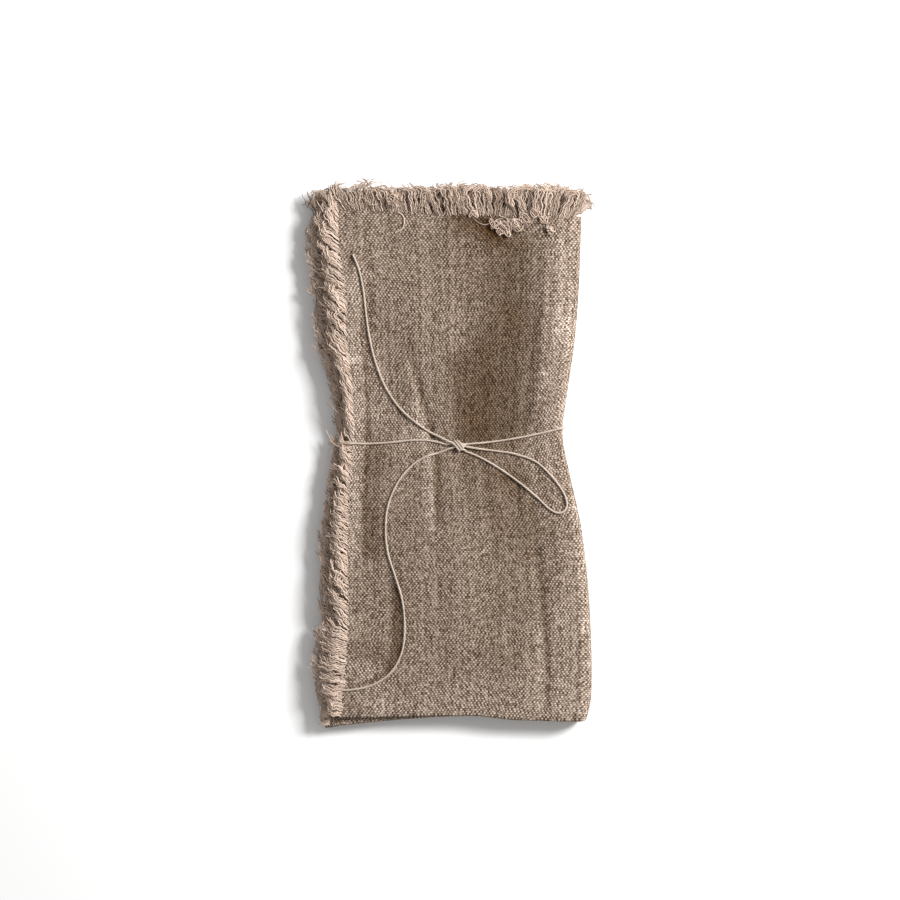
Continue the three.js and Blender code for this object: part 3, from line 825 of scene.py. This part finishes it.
def tubes(paths, radii, sides, upright, instead):
    """Tubes along many paths at once, open at their ends: points and faces."""
    count, steps = paths.shape[:2]
    tangent = np.gradient(paths, axis=1)
    tangent /= np.maximum(np.linalg.norm(tangent, axis=2, keepdims=True), TINY)
    across = np.cross(tangent, [0.0, 0.0, 1.0])
    size = np.linalg.norm(across, axis=2, keepdims=True)
    across = np.where(size < upright, instead, across / np.maximum(size, TINY))
    above = np.cross(across, tangent)
    angle = np.arange(sides) * 2 * math.pi / sides
    ring = across[:, :, None, :] * np.cos(angle)[None, None, :, None]
    ring = ring + above[:, :, None, :] * np.sin(angle)[None, None, :, None]
    points = paths[:, :, None, :] + ring * radii[..., None]
    index = np.arange(count * steps * sides).reshape(count, steps, sides)
    turned = np.roll(index, -1, axis=2)
    quads = np.stack([index[:, :-1], turned[:, :-1], turned[:, 1:], index[:, 1:]], axis=-1)
    return points.reshape(-1, 3), quads.reshape(-1, 4)


def spread(low, high, step):
    """Even places from low to high, about a step apart, with both ends."""
    return np.linspace(low, high, max(2, int(round(abs(high - low) / step)) + 1))


# The folded cloth


def stations():
    """The pack's line through its four levels: x, z, normal x, normal z, lower, along."""
    rows = []

    def level(number, from_x, to_x, step):
        sign = 1 if from_x < to_x else -1
        for x in spread(from_x, to_x, step):
            rows.append([x, level_height(number), 0, sign, number < PACKS])

    def arc(centre_x, low_level, high_level, first, turn, parts):
        centre_z = (level_height(low_level) + level_height(high_level)) / 2
        radius = (level_height(high_level) - level_height(low_level)) / 2
        outward = 1 if turn < 0 else -1
        for i in range(1, parts):
            angle = first + turn * math.pi * i / parts
            c, s = math.cos(angle), math.sin(angle)
            rows.append([centre_x + radius * c, centre_z + radius * s, outward * c, outward * s, 1])

    level(4, TOP_ROOT_X, OUTER_FOLD_X, FINE_STEP)
    arc(OUTER_FOLD_X, 1, 4, math.pi / 2, -1, OUTER_ARC_PARTS)
    level(1, OUTER_FOLD_X, HIDDEN_FOLD_X, COARSE_STEP)
    arc(HIDDEN_FOLD_X, 1, 2, -math.pi / 2, -1, SMALL_ARC_PARTS)
    level(2, HIDDEN_FOLD_X, INNER_FOLD_X, COARSE_STEP)
    arc(INNER_FOLD_X, 2, 3, -math.pi / 2, 1, SMALL_ARC_PARTS)
    level(3, INNER_FOLD_X, SECOND_ROOT_X, COARSE_STEP)
    table = np.array(rows, dtype=float)
    gone = np.hypot(np.diff(table[:, 0]), np.diff(table[:, 1]))
    return np.column_stack([table, np.concatenate([[0], np.cumsum(gone)])])


def hem_steps():
    """The way across a pack: kind of step, share of the edge's height, angle round the fold."""
    rows = []
    height = TOP_Y - BOTTOM_Y
    for share in spread(1, 0, COARSE_STEP / height)[:-1]:
        rows.append([-1, share, 0])
    for i in range(HEM_ARC_PARTS + 1):
        rows.append([0, 0, math.pi * i / HEM_ARC_PARTS])
    for share in spread(0, 1, FINE_STEP / height)[1:]:
        rows.append([1, share, 0])
    return np.array(rows)


def folded_cloth(material):
    line = stations()
    steps = hem_steps()
    x, z, normal_x, normal_z, lower, gone = [line[:, [k]] for k in range(6)]
    side, share, angle = [steps[:, k][None, :] for k in range(3)]
    bottom = bottom_edge(x)
    flat_y = np.where(side == 0, bottom, bottom + share * (top_edge(x, side) - bottom))
    ripple = RIPPLE * np.sin(x / RIPPLE_ACROSS + z + RIPPLE_SIDE_SHIFT * side)
    ripple = ripple * np.sin(flat_y / RIPPLE_DOWN + RIPPLE_LAYER_SHIFT * z)
    skins = []
    for outward in (SHEET / 2, -SHEET / 2):
        reach = PITCH / 2 + outward
        away = np.where(side == 0, -np.cos(angle), side) * reach + ripple
        y = flat_y - np.where(side == 0, np.sin(angle), 0) * reach
        moved_x = x + away * normal_x
        moved_y = y + lower * lower_shift(x, y)
        skins.append(settle(moved_x, moved_y, z + away * normal_z))
    points = np.stack(skins)
    columns, rows = points.shape[1:3]
    index = np.arange(points.size // 3).reshape(2, columns, rows)
    outer, inner = index

    def grid(a):
        return np.stack([a[:-1, :-1], a[1:, :-1], a[1:, 1:], a[:-1, 1:]], axis=-1).reshape(-1, 4)

    def border(a, b):
        return np.stack([a[:-1], a[1:], b[1:], b[:-1]], axis=-1)

    faces = np.concatenate([
        grid(outer),
        grid(inner)[:, ::-1],
        border(inner[:, 0], outer[:, 0]),
        border(outer[:, -1], inner[:, -1]),
        border(outer[0], inner[0]),
        border(inner[-1], outer[-1]),
    ])
    fold_run = math.pi * PITCH / 2
    round_fold = (angle / math.pi - 0.5) * fold_run
    up_side = side * (share * (TOP_Y - BOTTOM_Y) + fold_run / 2)
    across = np.where(side == 0, round_fold, up_side)
    uv = np.stack(np.broadcast_arrays(gone, across), axis=-1).reshape(-1, 2)
    uv = np.concatenate([uv, uv])
    points = points.reshape(-1, 3)
    points[:, 2] = np.maximum(points[:, 2], CLOTH_GAP)
    # Painted shade and painted light for each point: darker in creases and troughs, brighter on
    # ridges
    painted_shade = painted_shade_and_light_at(points[:, 0], points[:, 1])
    return make_mesh("linen_cloth", points, faces, uv, material, painted_shade)


# The frayed edges


def strand_paths(root, heading, wave_phase, turn, length, lift, seed):
    """Crimped threads in the flat stack, each from its root: count x steps x 3."""
    random = np.random.default_rng(seed)
    count = len(root)
    share = np.linspace(0, 1, THREAD_STEPS)[None, :]
    down = share * length[:, None]
    wave = WAVE_SWING * np.sin(2 * math.pi * down / WAVE_LENGTH + wave_phase[:, None])
    curl = turn[:, None] * smooth((share - CURL_START) / (1 - CURL_START))
    angle = heading[:, None] + wave * smooth(share * WAVE_GROWTH) + curl
    step = length[:, None] / (THREAD_STEPS - 1)
    x = root[:, [0]] + np.cumsum(np.cos(angle) * step, axis=1)
    y = root[:, [1]] + np.cumsum(np.sin(angle) * step, axis=1)
    phase = random.uniform(0, 2 * math.pi, (count, 1))
    crimp = CRIMP * np.sin(2 * math.pi * down / CRIMP_LENGTH + phase)
    x = x - crimp * np.sin(angle)
    y = y + crimp * np.cos(angle)
    rise = RISE_MIDDLE * np.sin(math.pi * share ** RISE_EARLY)
    rise = lift[:, None] * (rise + RISE_END * smooth(share * RISE_GROWTH))
    z = root[:, [2]] + rise + CRIMP_LIFT * crimp
    return np.stack([x, y, z], axis=-1)


def tufts(places, seed):
    """Groups neighbours: each thread's tuft and its place within that, and the tufts' count."""
    random = np.random.default_rng(seed)
    sizes = []
    while sum(sizes) < len(places):
        sizes.append(int(random.integers(TUFT_LEAST, TUFT_MOST + 1)))
    number = np.repeat(np.arange(len(sizes)), sizes)[: len(places)]
    centres = np.bincount(number, weights=places) / np.bincount(number)
    return number, places - centres[number], len(sizes)


def frayed_row(which, strands, material, seed, tones, extra=None):
    """Threads as one mesh piece that stands for a fringe node."""
    random = np.random.default_rng(seed + ROW_SEED)
    paths = strand_paths(*strands, seed + STRAND_SEED)
    count = len(paths)
    settled = settle(paths[..., 0], paths[..., 1], paths[..., 2])
    paler = PALER_END * smooth((settled[:, 0, 0] - PALER_FROM) / PALER_REACH)
    tone = random.uniform(*tones, count) + paler
    if extra is not None:
        settled = np.concatenate([settled, extra])
        tone = np.concatenate([tone, random.uniform(*LOOSE_TONES, len(extra))])
        count = len(settled)
    share = np.linspace(0, 1, THREAD_STEPS)[None, :]
    thick = THREAD_RADIUS * random.uniform(*RADIUS_SPREAD, (count, 1))
    thick = thick * (1 - TIP_THINNER * share ** TIP_POWER)
    settled[..., 2] = np.maximum(settled[..., 2], thick + THREAD_GAP)
    points, faces = tubes(settled, thick[..., None], THREAD_SIDES, UPRIGHT_THREAD, [1.0, 0.0, 0.0])
    down = np.linalg.norm(np.diff(settled, axis=1), axis=2).cumsum(axis=1)
    down = np.concatenate([np.zeros((count, 1)), down], axis=1)
    uv = np.stack([np.broadcast_to(tone[:, None], down.shape), down], axis=-1)
    uv = np.repeat(uv.reshape(-1, 2), THREAD_SIDES, axis=0)
    piece = make_mesh(f"frayed_{which}", points, faces, uv, material)
    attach(piece, "root")
    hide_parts(f"fringe_{which}")
    return piece


def root_height(level, side, inside):
    """Threads that lie loose inside the edge start on top of their sheet."""
    on_top = (inside > 1) * (SHEET / 2 + THREAD_RADIUS / 2)
    return level_height(level) + side * PITCH / 2 + on_top


def vary(random, tuft, ways, lean, curl, inside):
    """How threads differ: heading, swing, curl, start inside the edge, more length, times rise."""
    group, beside, groups = tuft
    points, turns, gather, lean_spread, length_spread, rise_spread, own_spread = ways
    count = len(group)
    lean = lean + random.normal(0, lean_spread, groups)[group]
    heading = points + turns * lean + gather * beside
    heading = heading + random.normal(0, HEADING_SPREAD, count)
    phase = random.uniform(0, 2 * math.pi, groups)[group] + random.normal(0, PHASE_SPREAD, count)
    turn = curl(random, groups)[group] + random.normal(0, TURN_SPREAD, count)
    started = inside * random.uniform(LEAST_START, 1, count)
    longer = started + random.normal(0, length_spread, groups)[group]
    longer = longer + random.normal(0, own_spread, count)
    higher = 1 + random.normal(0, rise_spread, groups)[group]
    return heading, phase, turn, started, longer, higher


def left_curl(random, groups):
    return random.normal(LEFT_TURN, LEFT_TURN_SPREAD, groups)


def top_curl(random, groups):
    sign = np.where(random.uniform(-1, 1, groups) < 0, -1, 1)
    return sign * random.uniform(*TOP_TURN, groups)


def left_row(number, level, side, root_x, spacing, lift, inside, tones, material):
    """The frayed threads of one layer at the left."""
    seed = LEFT_SEED + number
    random = np.random.default_rng(seed)
    top = top_edge(root_x, side * facing(level)) + LEFT_PAST
    places = spread(bottom_edge(root_x), top, spacing)
    places = places + random.normal(0, PLACE_SPREAD, len(places))
    tuft = tufts(places, seed + TUFT_SEED)
    held = WAIST_LEVEL * bell(WAIST_Y - places, WAIST_LEVEL_REACH)
    freed = np.where(places < WAIST_Y, 1 - held, 1)
    above_level = smooth((places - LEVEL_BELOW) / LEVEL_REACH)
    freed = freed * (LEVEL_LEAN + (1 - LEVEL_LEAN) * above_level)
    lean = (LEFT_LEAN + LEFT_LEAN_SWING * np.sin(places / LEFT_LEAN_REACH)) * freed
    lean = lean + CORNER_LEAN * smooth((places - CORNER_FROM) / CORNER_REACH)
    varied = vary(random, tuft, LEFT_WAYS, lean, left_curl, inside)
    heading, phase, turn, started, longer, higher = varied
    reach = LEFT_THREAD * np.interp(places, LEFT_REACH[:, 0], LEFT_REACH[:, 1])
    rise = lift * higher * (1 - WAIST_FLAT * bell(places - WAIST_Y, WAIST_FLAT_REACH))
    shift = lower_shift(root_x, places) * (level < PACKS)
    z = np.full(len(places), root_height(level, side, inside))
    root = np.stack([root_x + started, places + shift, z], axis=-1)
    strands = [root, heading, phase, turn, reach + longer, rise]
    return frayed_row(f"left_{number}", strands, material, seed, tones)


def top_row(number, level, side, from_x, to_x, spacing, lift, inside, tones, material, extra=None):
    """The frayed threads of one layer at the top, with loose threads beside them."""
    seed = TOP_SEED + number
    random = np.random.default_rng(seed)
    places = spread(from_x - TOP_BEFORE, to_x + TOP_PAST, spacing)
    places = places + random.normal(0, PLACE_SPREAD, len(places))
    tuft = tufts(places, seed + TUFT_SEED)
    edge = top_edge(places, side * facing(level))
    shift = lower_shift(places, edge) * (level < PACKS)
    fan = TOP_PACK_FAN if level == PACKS else LOWER_FAN
    lean = TOP_LEAN + fan * smooth((FAN_FROM - places) / FAN_REACH)
    lean = lean - RIGHT_LEAN * smooth((places - RIGHT_LEAN_FROM) / RIGHT_LEAN_REACH)
    lean = lean + TOP_LEAN_SWING * np.sin(places / TOP_LEAN_REACH)
    varied = vary(random, tuft, TOP_WAYS, lean, top_curl, inside)
    heading, phase, turn, started, longer, higher = varied
    reach = TOP_THREAD - CLIMB_SHORTER * top_climb(places)
    reach = reach + np.interp(places, TOP_REACH[:, 0], TOP_REACH[:, 1])
    z = np.full(len(places), root_height(level, side, inside))
    root = np.stack([places, edge + shift - started, z], axis=-1)
    strands = [root, heading, phase, turn, reach + longer, lift * higher]
    return frayed_row(f"top_{number}", strands, material, seed, tones, extra)


def through(places, count):
    """A smooth line through given points, as so many points an equal parameter apart."""
    places = np.asarray(places, dtype=float)
    padded = np.concatenate([[2 * places[0] - places[1]], places, [2 * places[-1] - places[-2]]])
    t = np.linspace(0, len(places) - 1 - TINY, count)
    i = t.astype(int)
    u = (t - i)[:, None]
    a, b, c, d = padded[i], padded[i + 1], padded[i + 2], padded[i + 3]
    squared = 2 * a - 5 * b + 4 * c - d
    cubed = 3 * b - a - 3 * c + d
    return 0.5 * (2 * b + (c - a) * u + squared * u ** 2 + cubed * u ** 3)


def on_fringe(y, edge_y):
    """How much higher a loose thread lies where it has passed from the cloth to the fringe."""
    return FRINGE_STEP * smooth((y - edge_y) / FRINGE_STEP_REACH)


def loose_threads():
    """The tangles and the strays, settled on the cloth."""
    random = np.random.default_rng(LOOSE_SEED)
    share = np.linspace(0, 1, THREAD_STEPS)
    lines = []
    for x, y, reach, count in TANGLES:
        for _ in range(count):
            turn = random.uniform(0, 2 * math.pi, 4)
            speed = random.uniform(*TANGLE_SPEED, 2)
            size = reach * random.uniform(*TANGLE_SIZE)
            line_x = x + random.normal(0, reach / 4) + size * np.sin(speed[0] * share + turn[0])
            line_y = y + random.normal(0, reach / 4) + size * np.cos(speed[1] * share + turn[1])
            over = TANGLE_LOW + random.uniform(0, TANGLE_PILE)
            over = over + TANGLE_WAVE * np.sin(TANGLE_WAVE_SPEED * share + turn[2])
            height = top_height(line_x, line_y) + over + on_fringe(line_y, TANGLE_EDGE_Y)
            lines.append(np.stack([line_x, line_y, height], axis=-1))
    for places in STRAYS:
        line = through(places, THREAD_STEPS)
        height = top_height(line[:, 0], line[:, 1]) + STRAY_LIFT
        lines.append(np.column_stack([line, height + on_fringe(line[:, 1], STRAY_EDGE_Y)]))
    return np.stack(lines)


# The tie


def route_points(route):
    """The route's points with their heights, lying on the cloth."""
    points = []
    for x, y, kind, height in route:
        if kind == OVER:
            height = float(top_height(np.array(x), np.array(y))) + height - TWINE_SINK
        points.append([x, y, height])
    return np.array(points)


def even_path(points, step):
    """A smooth line through the points, cut into even steps."""
    dense = through(points, PARTS_PER_POINT * len(points))
    gone = np.concatenate([[0], np.cumsum(np.linalg.norm(np.diff(dense, axis=0), axis=1))])
    places = np.linspace(0, gone[-1], int(gone[-1] / step) + 1)
    return np.stack([np.interp(places, gone, dense[:, k]) for k in range(3)], axis=-1), gone[-1]


def lay_on_cloth(path, route):
    """Keeps the parts of a path that lie on top resting on the fine creases."""
    if any(row[2] == TABLE for row in route):
        return path
    resting = top_height(path[:, 0], path[:, 1]) + TWINE / 2 + TWINE_GAP
    path[:, 2] = np.maximum(path[:, 2], resting)
    return path


def twisted(name, path, material, thick):
    """A cord of plies laid round each other, open at its narrow ends."""
    share = np.arange(len(path)) * TWINE_STEP
    angle = np.arange(TWINE_SIDES) * 2 * math.pi / TWINE_SIDES
    twist = 2 * math.pi * share / (PLIES * TWINE_LAY)
    ply = 0.5 + 0.5 * np.cos(PLIES * (angle[None, :] - twist[:, None]))
    slub = 1 + sum(swell * np.sin(share / reach + shift) for swell, reach, shift in SLUBS)
    radius = thick / 2 * (CORE_RADIUS + PLY_RADIUS * ply) * slub[:, None]
    radius[0] *= END_RADIUS
    radius[-1] *= END_RADIUS
    points, faces = tubes(path[None], radius[None], TWINE_SIDES, UPRIGHT_CORD, [0.0, 1.0, 0.0])
    points[:, 2] = np.maximum(points[:, 2], TWINE_GAP)
    uv = np.stack([ply, np.broadcast_to(share[:, None], ply.shape)], axis=-1).reshape(-1, 2)
    return make_mesh(name, points, faces, uv, material)


def tie_cord(node, name, route, material, thick=TWINE):
    path, length = even_path(route_points(route), TWINE_STEP)
    path = lay_on_cloth(path, route)
    piece = twisted(name, path, material, thick)
    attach(piece, "root")
    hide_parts(node)


def knot(material):
    strands = []
    for number, strand in enumerate(KNOT_STRANDS):
        points = np.array(strand)
        points[:, 2] += top_height(points[:, 0], points[:, 1]) - KNOT_SINK
        path, _ = even_path(points, TWINE_STEP)
        strands.append(twisted(f"knot_strand_{number}", path, material, TWINE))
    bpy.ops.object.select_all(action="DESELECT")
    for strand in strands:
        strand.select_set(True)
    bpy.context.view_layer.objects.active = strands[0]
    bpy.ops.object.join()
    piece = strands[0]
    piece.name = "twine_knot"
    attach(piece, "root")
    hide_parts("tie_knot")


# Materials


class Shader:
    """A material's node tree, with short ways to add to it."""

    def __init__(self, name, roughness, shine):
        self.material = bpy.data.materials.new(name)
        self.material.use_nodes = True
        self.tree = self.material.node_tree
        self.surface = self.tree.nodes["Principled BSDF"]
        self.surface.inputs["Roughness"].default_value = roughness
        self.surface.inputs["Specular IOR Level"].default_value = shine

    def add(self, kind, inputs, **settings):
        node = self.tree.nodes.new(kind)
        for key, value in settings.items():
            setattr(node, key, value)
        for key, value in inputs.items():
            if isinstance(value, bpy.types.NodeSocket):
                self.tree.links.new(value, node.inputs[key])
            else:
                node.inputs[key].default_value = value
        return node

    def math(self, operation, a, b=0.0, c=0.0):
        return self.add("ShaderNodeMath", {0: a, 1: b, 2: c}, operation=operation).outputs[0]

    def place(self):
        """The two material coordinates, in millimetres."""
        uv = self.add("ShaderNodeUVMap", {}, uv_map="material")
        split = self.add("ShaderNodeSeparateXYZ", {0: uv.outputs[0]})
        return split.outputs[0], split.outputs[1]

    def wave(self, operation, value, turns):
        """The sine or cosine of a value that makes so many turns for each unit."""
        return self.math(operation, self.math("MULTIPLY", value, 2 * math.pi * turns))

    def noise(self, x, y, across, down, layer):
        """Soft noise that changes so fast along each of two coordinates."""
        scaled = {0: self.math("MULTIPLY", x, across), 1: self.math("MULTIPLY", y, down), 2: layer}
        where = self.add("ShaderNodeCombineXYZ", scaled)
        inputs = {"Vector": where.outputs[0], "Scale": 1.0, "Detail": NOISE_DETAIL}
        return self.add("ShaderNodeTexNoise", inputs, noise_dimensions="3D").outputs[0]

    def speck(self, x, y):
        """A fixed chance value for each whole pair of coordinates."""
        where = self.add("ShaderNodeCombineXYZ", {0: x, 1: y, 2: 0.0})
        inputs = {"Vector": where.outputs[0]}
        return self.add("ShaderNodeTexWhiteNoise", inputs, noise_dimensions="2D").outputs[0]

    def ramp(self, value, stops):
        node = self.add("ShaderNodeValToRGB", {0: value})
        elements = node.color_ramp.elements
        while len(elements) < len(stops):
            elements.new(0.5)
        for element, (place, colour) in zip(elements, stops):
            element.position = place
            element.color = (*colour, 1.0)
        return node.outputs[0]

    def finish(self, colour, height=None):
        self.tree.links.new(colour, self.surface.inputs["Base Color"])
        if height is not None:
            inputs = {"Height": height, "Distance": RELIEF_DEPTH, "Strength": RELIEF_STRENGTH}
            bump = self.add("ShaderNodeBump", inputs)
            self.tree.links.new(bump.outputs[0], self.surface.inputs["Normal"])
        return self.material


def linen():
    """Plain weave: floats stand light at every second crossing, between darker ones and gaps."""
    shader = Shader("linen", roughness=0.92, shine=0.12)
    u, v = shader.place()
    sway_across = shader.noise(u, v, *SWAY_ACROSS)
    sway_down = shader.noise(u, v, *SWAY_DOWN)
    u_bent = shader.math("MULTIPLY_ADD", sway_across, SWAY, u)
    v_bent = shader.math("MULTIPLY_ADD", sway_down, SWAY, v)
    weft = shader.math("DIVIDE", v_bent, WEAVE_DOWN)
    weft_number = shader.math("FLOOR", weft)
    slip = shader.speck(SLIP_LINE, weft_number)
    warp = shader.math("MULTIPLY_ADD", slip, ROW_SLIP, shader.math("DIVIDE", u_bent, WEAVE_ACROSS))
    warp_number = shader.math("FLOOR", warp)
    both = shader.wave("COSINE", shader.math("ADD", warp, weft), 0.5)
    apart = shader.wave("COSINE", shader.math("SUBTRACT", warp, weft), 0.5)
    zone = shader.noise(u, v, *ZONE)
    leaning = shader.math("MULTIPLY", zone, FLOAT_SHARE)
    upright = shader.math("MULTIPLY_ADD", zone, -FLOAT_SHARE, FLOAT_SHARE)
    leaning_floats = shader.math("MULTIPLY", both, leaning)
    floats = shader.math("SUBTRACT", shader.math("MULTIPLY", apart, upright), leaning_floats)
    row = shader.math("ABSOLUTE", shader.wave("SINE", weft, 0.5))
    grain = shader.speck(warp_number, weft_number)
    tone = shader.math("MULTIPLY_ADD", row, ROW_SHARE, floats)
    tone = shader.math("MULTIPLY_ADD", grain, GRAIN_SHARE, tone)
    tone = shader.math("MULTIPLY_ADD", shader.speck(warp_number, WARP_LINE), WARP_SHARE, tone)
    lines = {"u": u, "v": v, "warp": warp_number, "weft": weft_number}
    for x, y, across, down, layer, share in LIGHTER:
        noise = shader.noise(lines[x], lines[y], across, down, layer)
        tone = shader.math("MULTIPLY_ADD", noise, share, tone)
    colour = shader.ramp(shader.math("ADD", tone, DARKER), LINEN_COLOURS)
    # Painted shade and painted light of the creases and ridges, warmer where darker, multiply the
    # weave's colour
    painted_shade_values = shader.add("ShaderNodeAttribute", {}, attribute_name="painted_shade").outputs["Fac"]
    warmer = {0: painted_shade_values, 1: SHADE_TINT_TIMES, 2: SHADE_TINT_PLUS}
    tint = shader.add("ShaderNodeVectorMath", warmer, operation="MULTIPLY_ADD").outputs[0]
    shaded = shader.add("ShaderNodeVectorMath", {0: colour, 1: tint}, operation="MULTIPLY").outputs[0]
    floats_height = shader.math("MULTIPLY", floats, FLOAT_RELIEF)
    height = shader.math("MULTIPLY_ADD", grain, GRAIN_RELIEF, floats_height)
    return shader.finish(shaded, height)


def thread():
    """Loose linen thread: each with its own tone, ribbed by its twist."""
    shader = Shader("linen thread", roughness=0.9, shine=0.15)
    tone, down = shader.place()
    rib = shader.wave("SINE", down, 1 / RIB_LENGTH)
    patch = shader.noise(tone, down, *THREAD_PATCH)
    value = shader.math("MULTIPLY_ADD", rib, RIB_SHARE, shader.math("MULTIPLY", tone, TONE_SHARE))
    value = shader.math("MULTIPLY_ADD", patch, THREAD_PATCH_SHARE, value)
    return shader.finish(shader.ramp(value, THREAD_COLOURS))


def waxed_twine():
    """Pale twine, with painted shade between its plies."""
    shader = Shader("waxed twine", roughness=0.55, shine=0.4)
    ply, down = shader.place()
    patch = shader.noise(ply, down, *TWINE_PATCH)
    ply_shade = shader.math("MULTIPLY", ply, PLY_SHADE_SHARE)
    value = shader.math("MULTIPLY_ADD", patch, TWINE_PATCH_SHARE, ply_shade)
    return shader.finish(shader.ramp(value, TWINE_COLOURS))


# The pieces


linen_material = linen()
thread_material = thread()
twine_material = waxed_twine()

cloth = folded_cloth(linen_material)
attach(cloth, "root")
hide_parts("cloth")

frayed = [left_row(*row, thread_material) for row in LEFT_ROWS]
for row in TOP_ROWS:
    loose = loose_threads() if row[0] == 1 else None
    frayed.append(top_row(*row, thread_material, extra=loose))

tie_cord("tie_band", "twine_round_waist", BAND_ROUTE, twine_material)
tie_cord("tie_loop", "twine_bow_loop", LOOP_ROUTE, twine_material)
tie_cord("tie_end_upper", "twine_upper_end", UPPER_ROUTE, twine_material)
tie_cord("tie_end_lower", "twine_lower_end", LOWER_ROUTE, twine_material)
knot(twine_material)


# The picture


def floor():
    bpy.ops.mesh.primitive_plane_add(size=TABLE_SIZE)
    plane = bpy.context.active_object
    plane.name = "white_table"
    shader = Shader("white_table", roughness=0.8, shine=0.5)
    shader.surface.inputs["Base Color"].default_value = TABLE_COLOUR
    plane.data.materials.append(shader.material)


def key_light():
    """One soft light from the upper right, turned towards the napkin."""
    light = bpy.data.lights.new("key", "AREA")
    light.size = LIGHT_SIZE
    light.energy = LIGHT_POWER
    holder = put("key", light)
    holder.location = LIGHT_PLACE
    direction = -Vector(LIGHT_PLACE)
    holder.rotation_euler = direction.to_track_quat("-Z", "Y").to_euler()


def camera():
    data = bpy.data.cameras.new("camera")
    data.sensor_width = SENSOR
    data.lens = SENSOR * CAMERA_HEIGHT / PICTURE_WIDTH
    holder = put("camera", data)
    place = to_scene(PICTURE_MIDDLE)
    holder.location = (place[0], place[1], place[2] + CAMERA_HEIGHT * 0.001)
    bpy.context.scene.camera = holder


def world():
    sky = bpy.data.worlds.new("soft room")
    bpy.context.scene.world = sky
    sky.use_nodes = True
    background = sky.node_tree.nodes["Background"]
    background.inputs["Color"].default_value = SKY_COLOUR
    background.inputs["Strength"].default_value = SKY_STRENGTH


floor()
world()
key_light()
camera()
bpy.context.scene.view_settings.view_transform = "Standard"
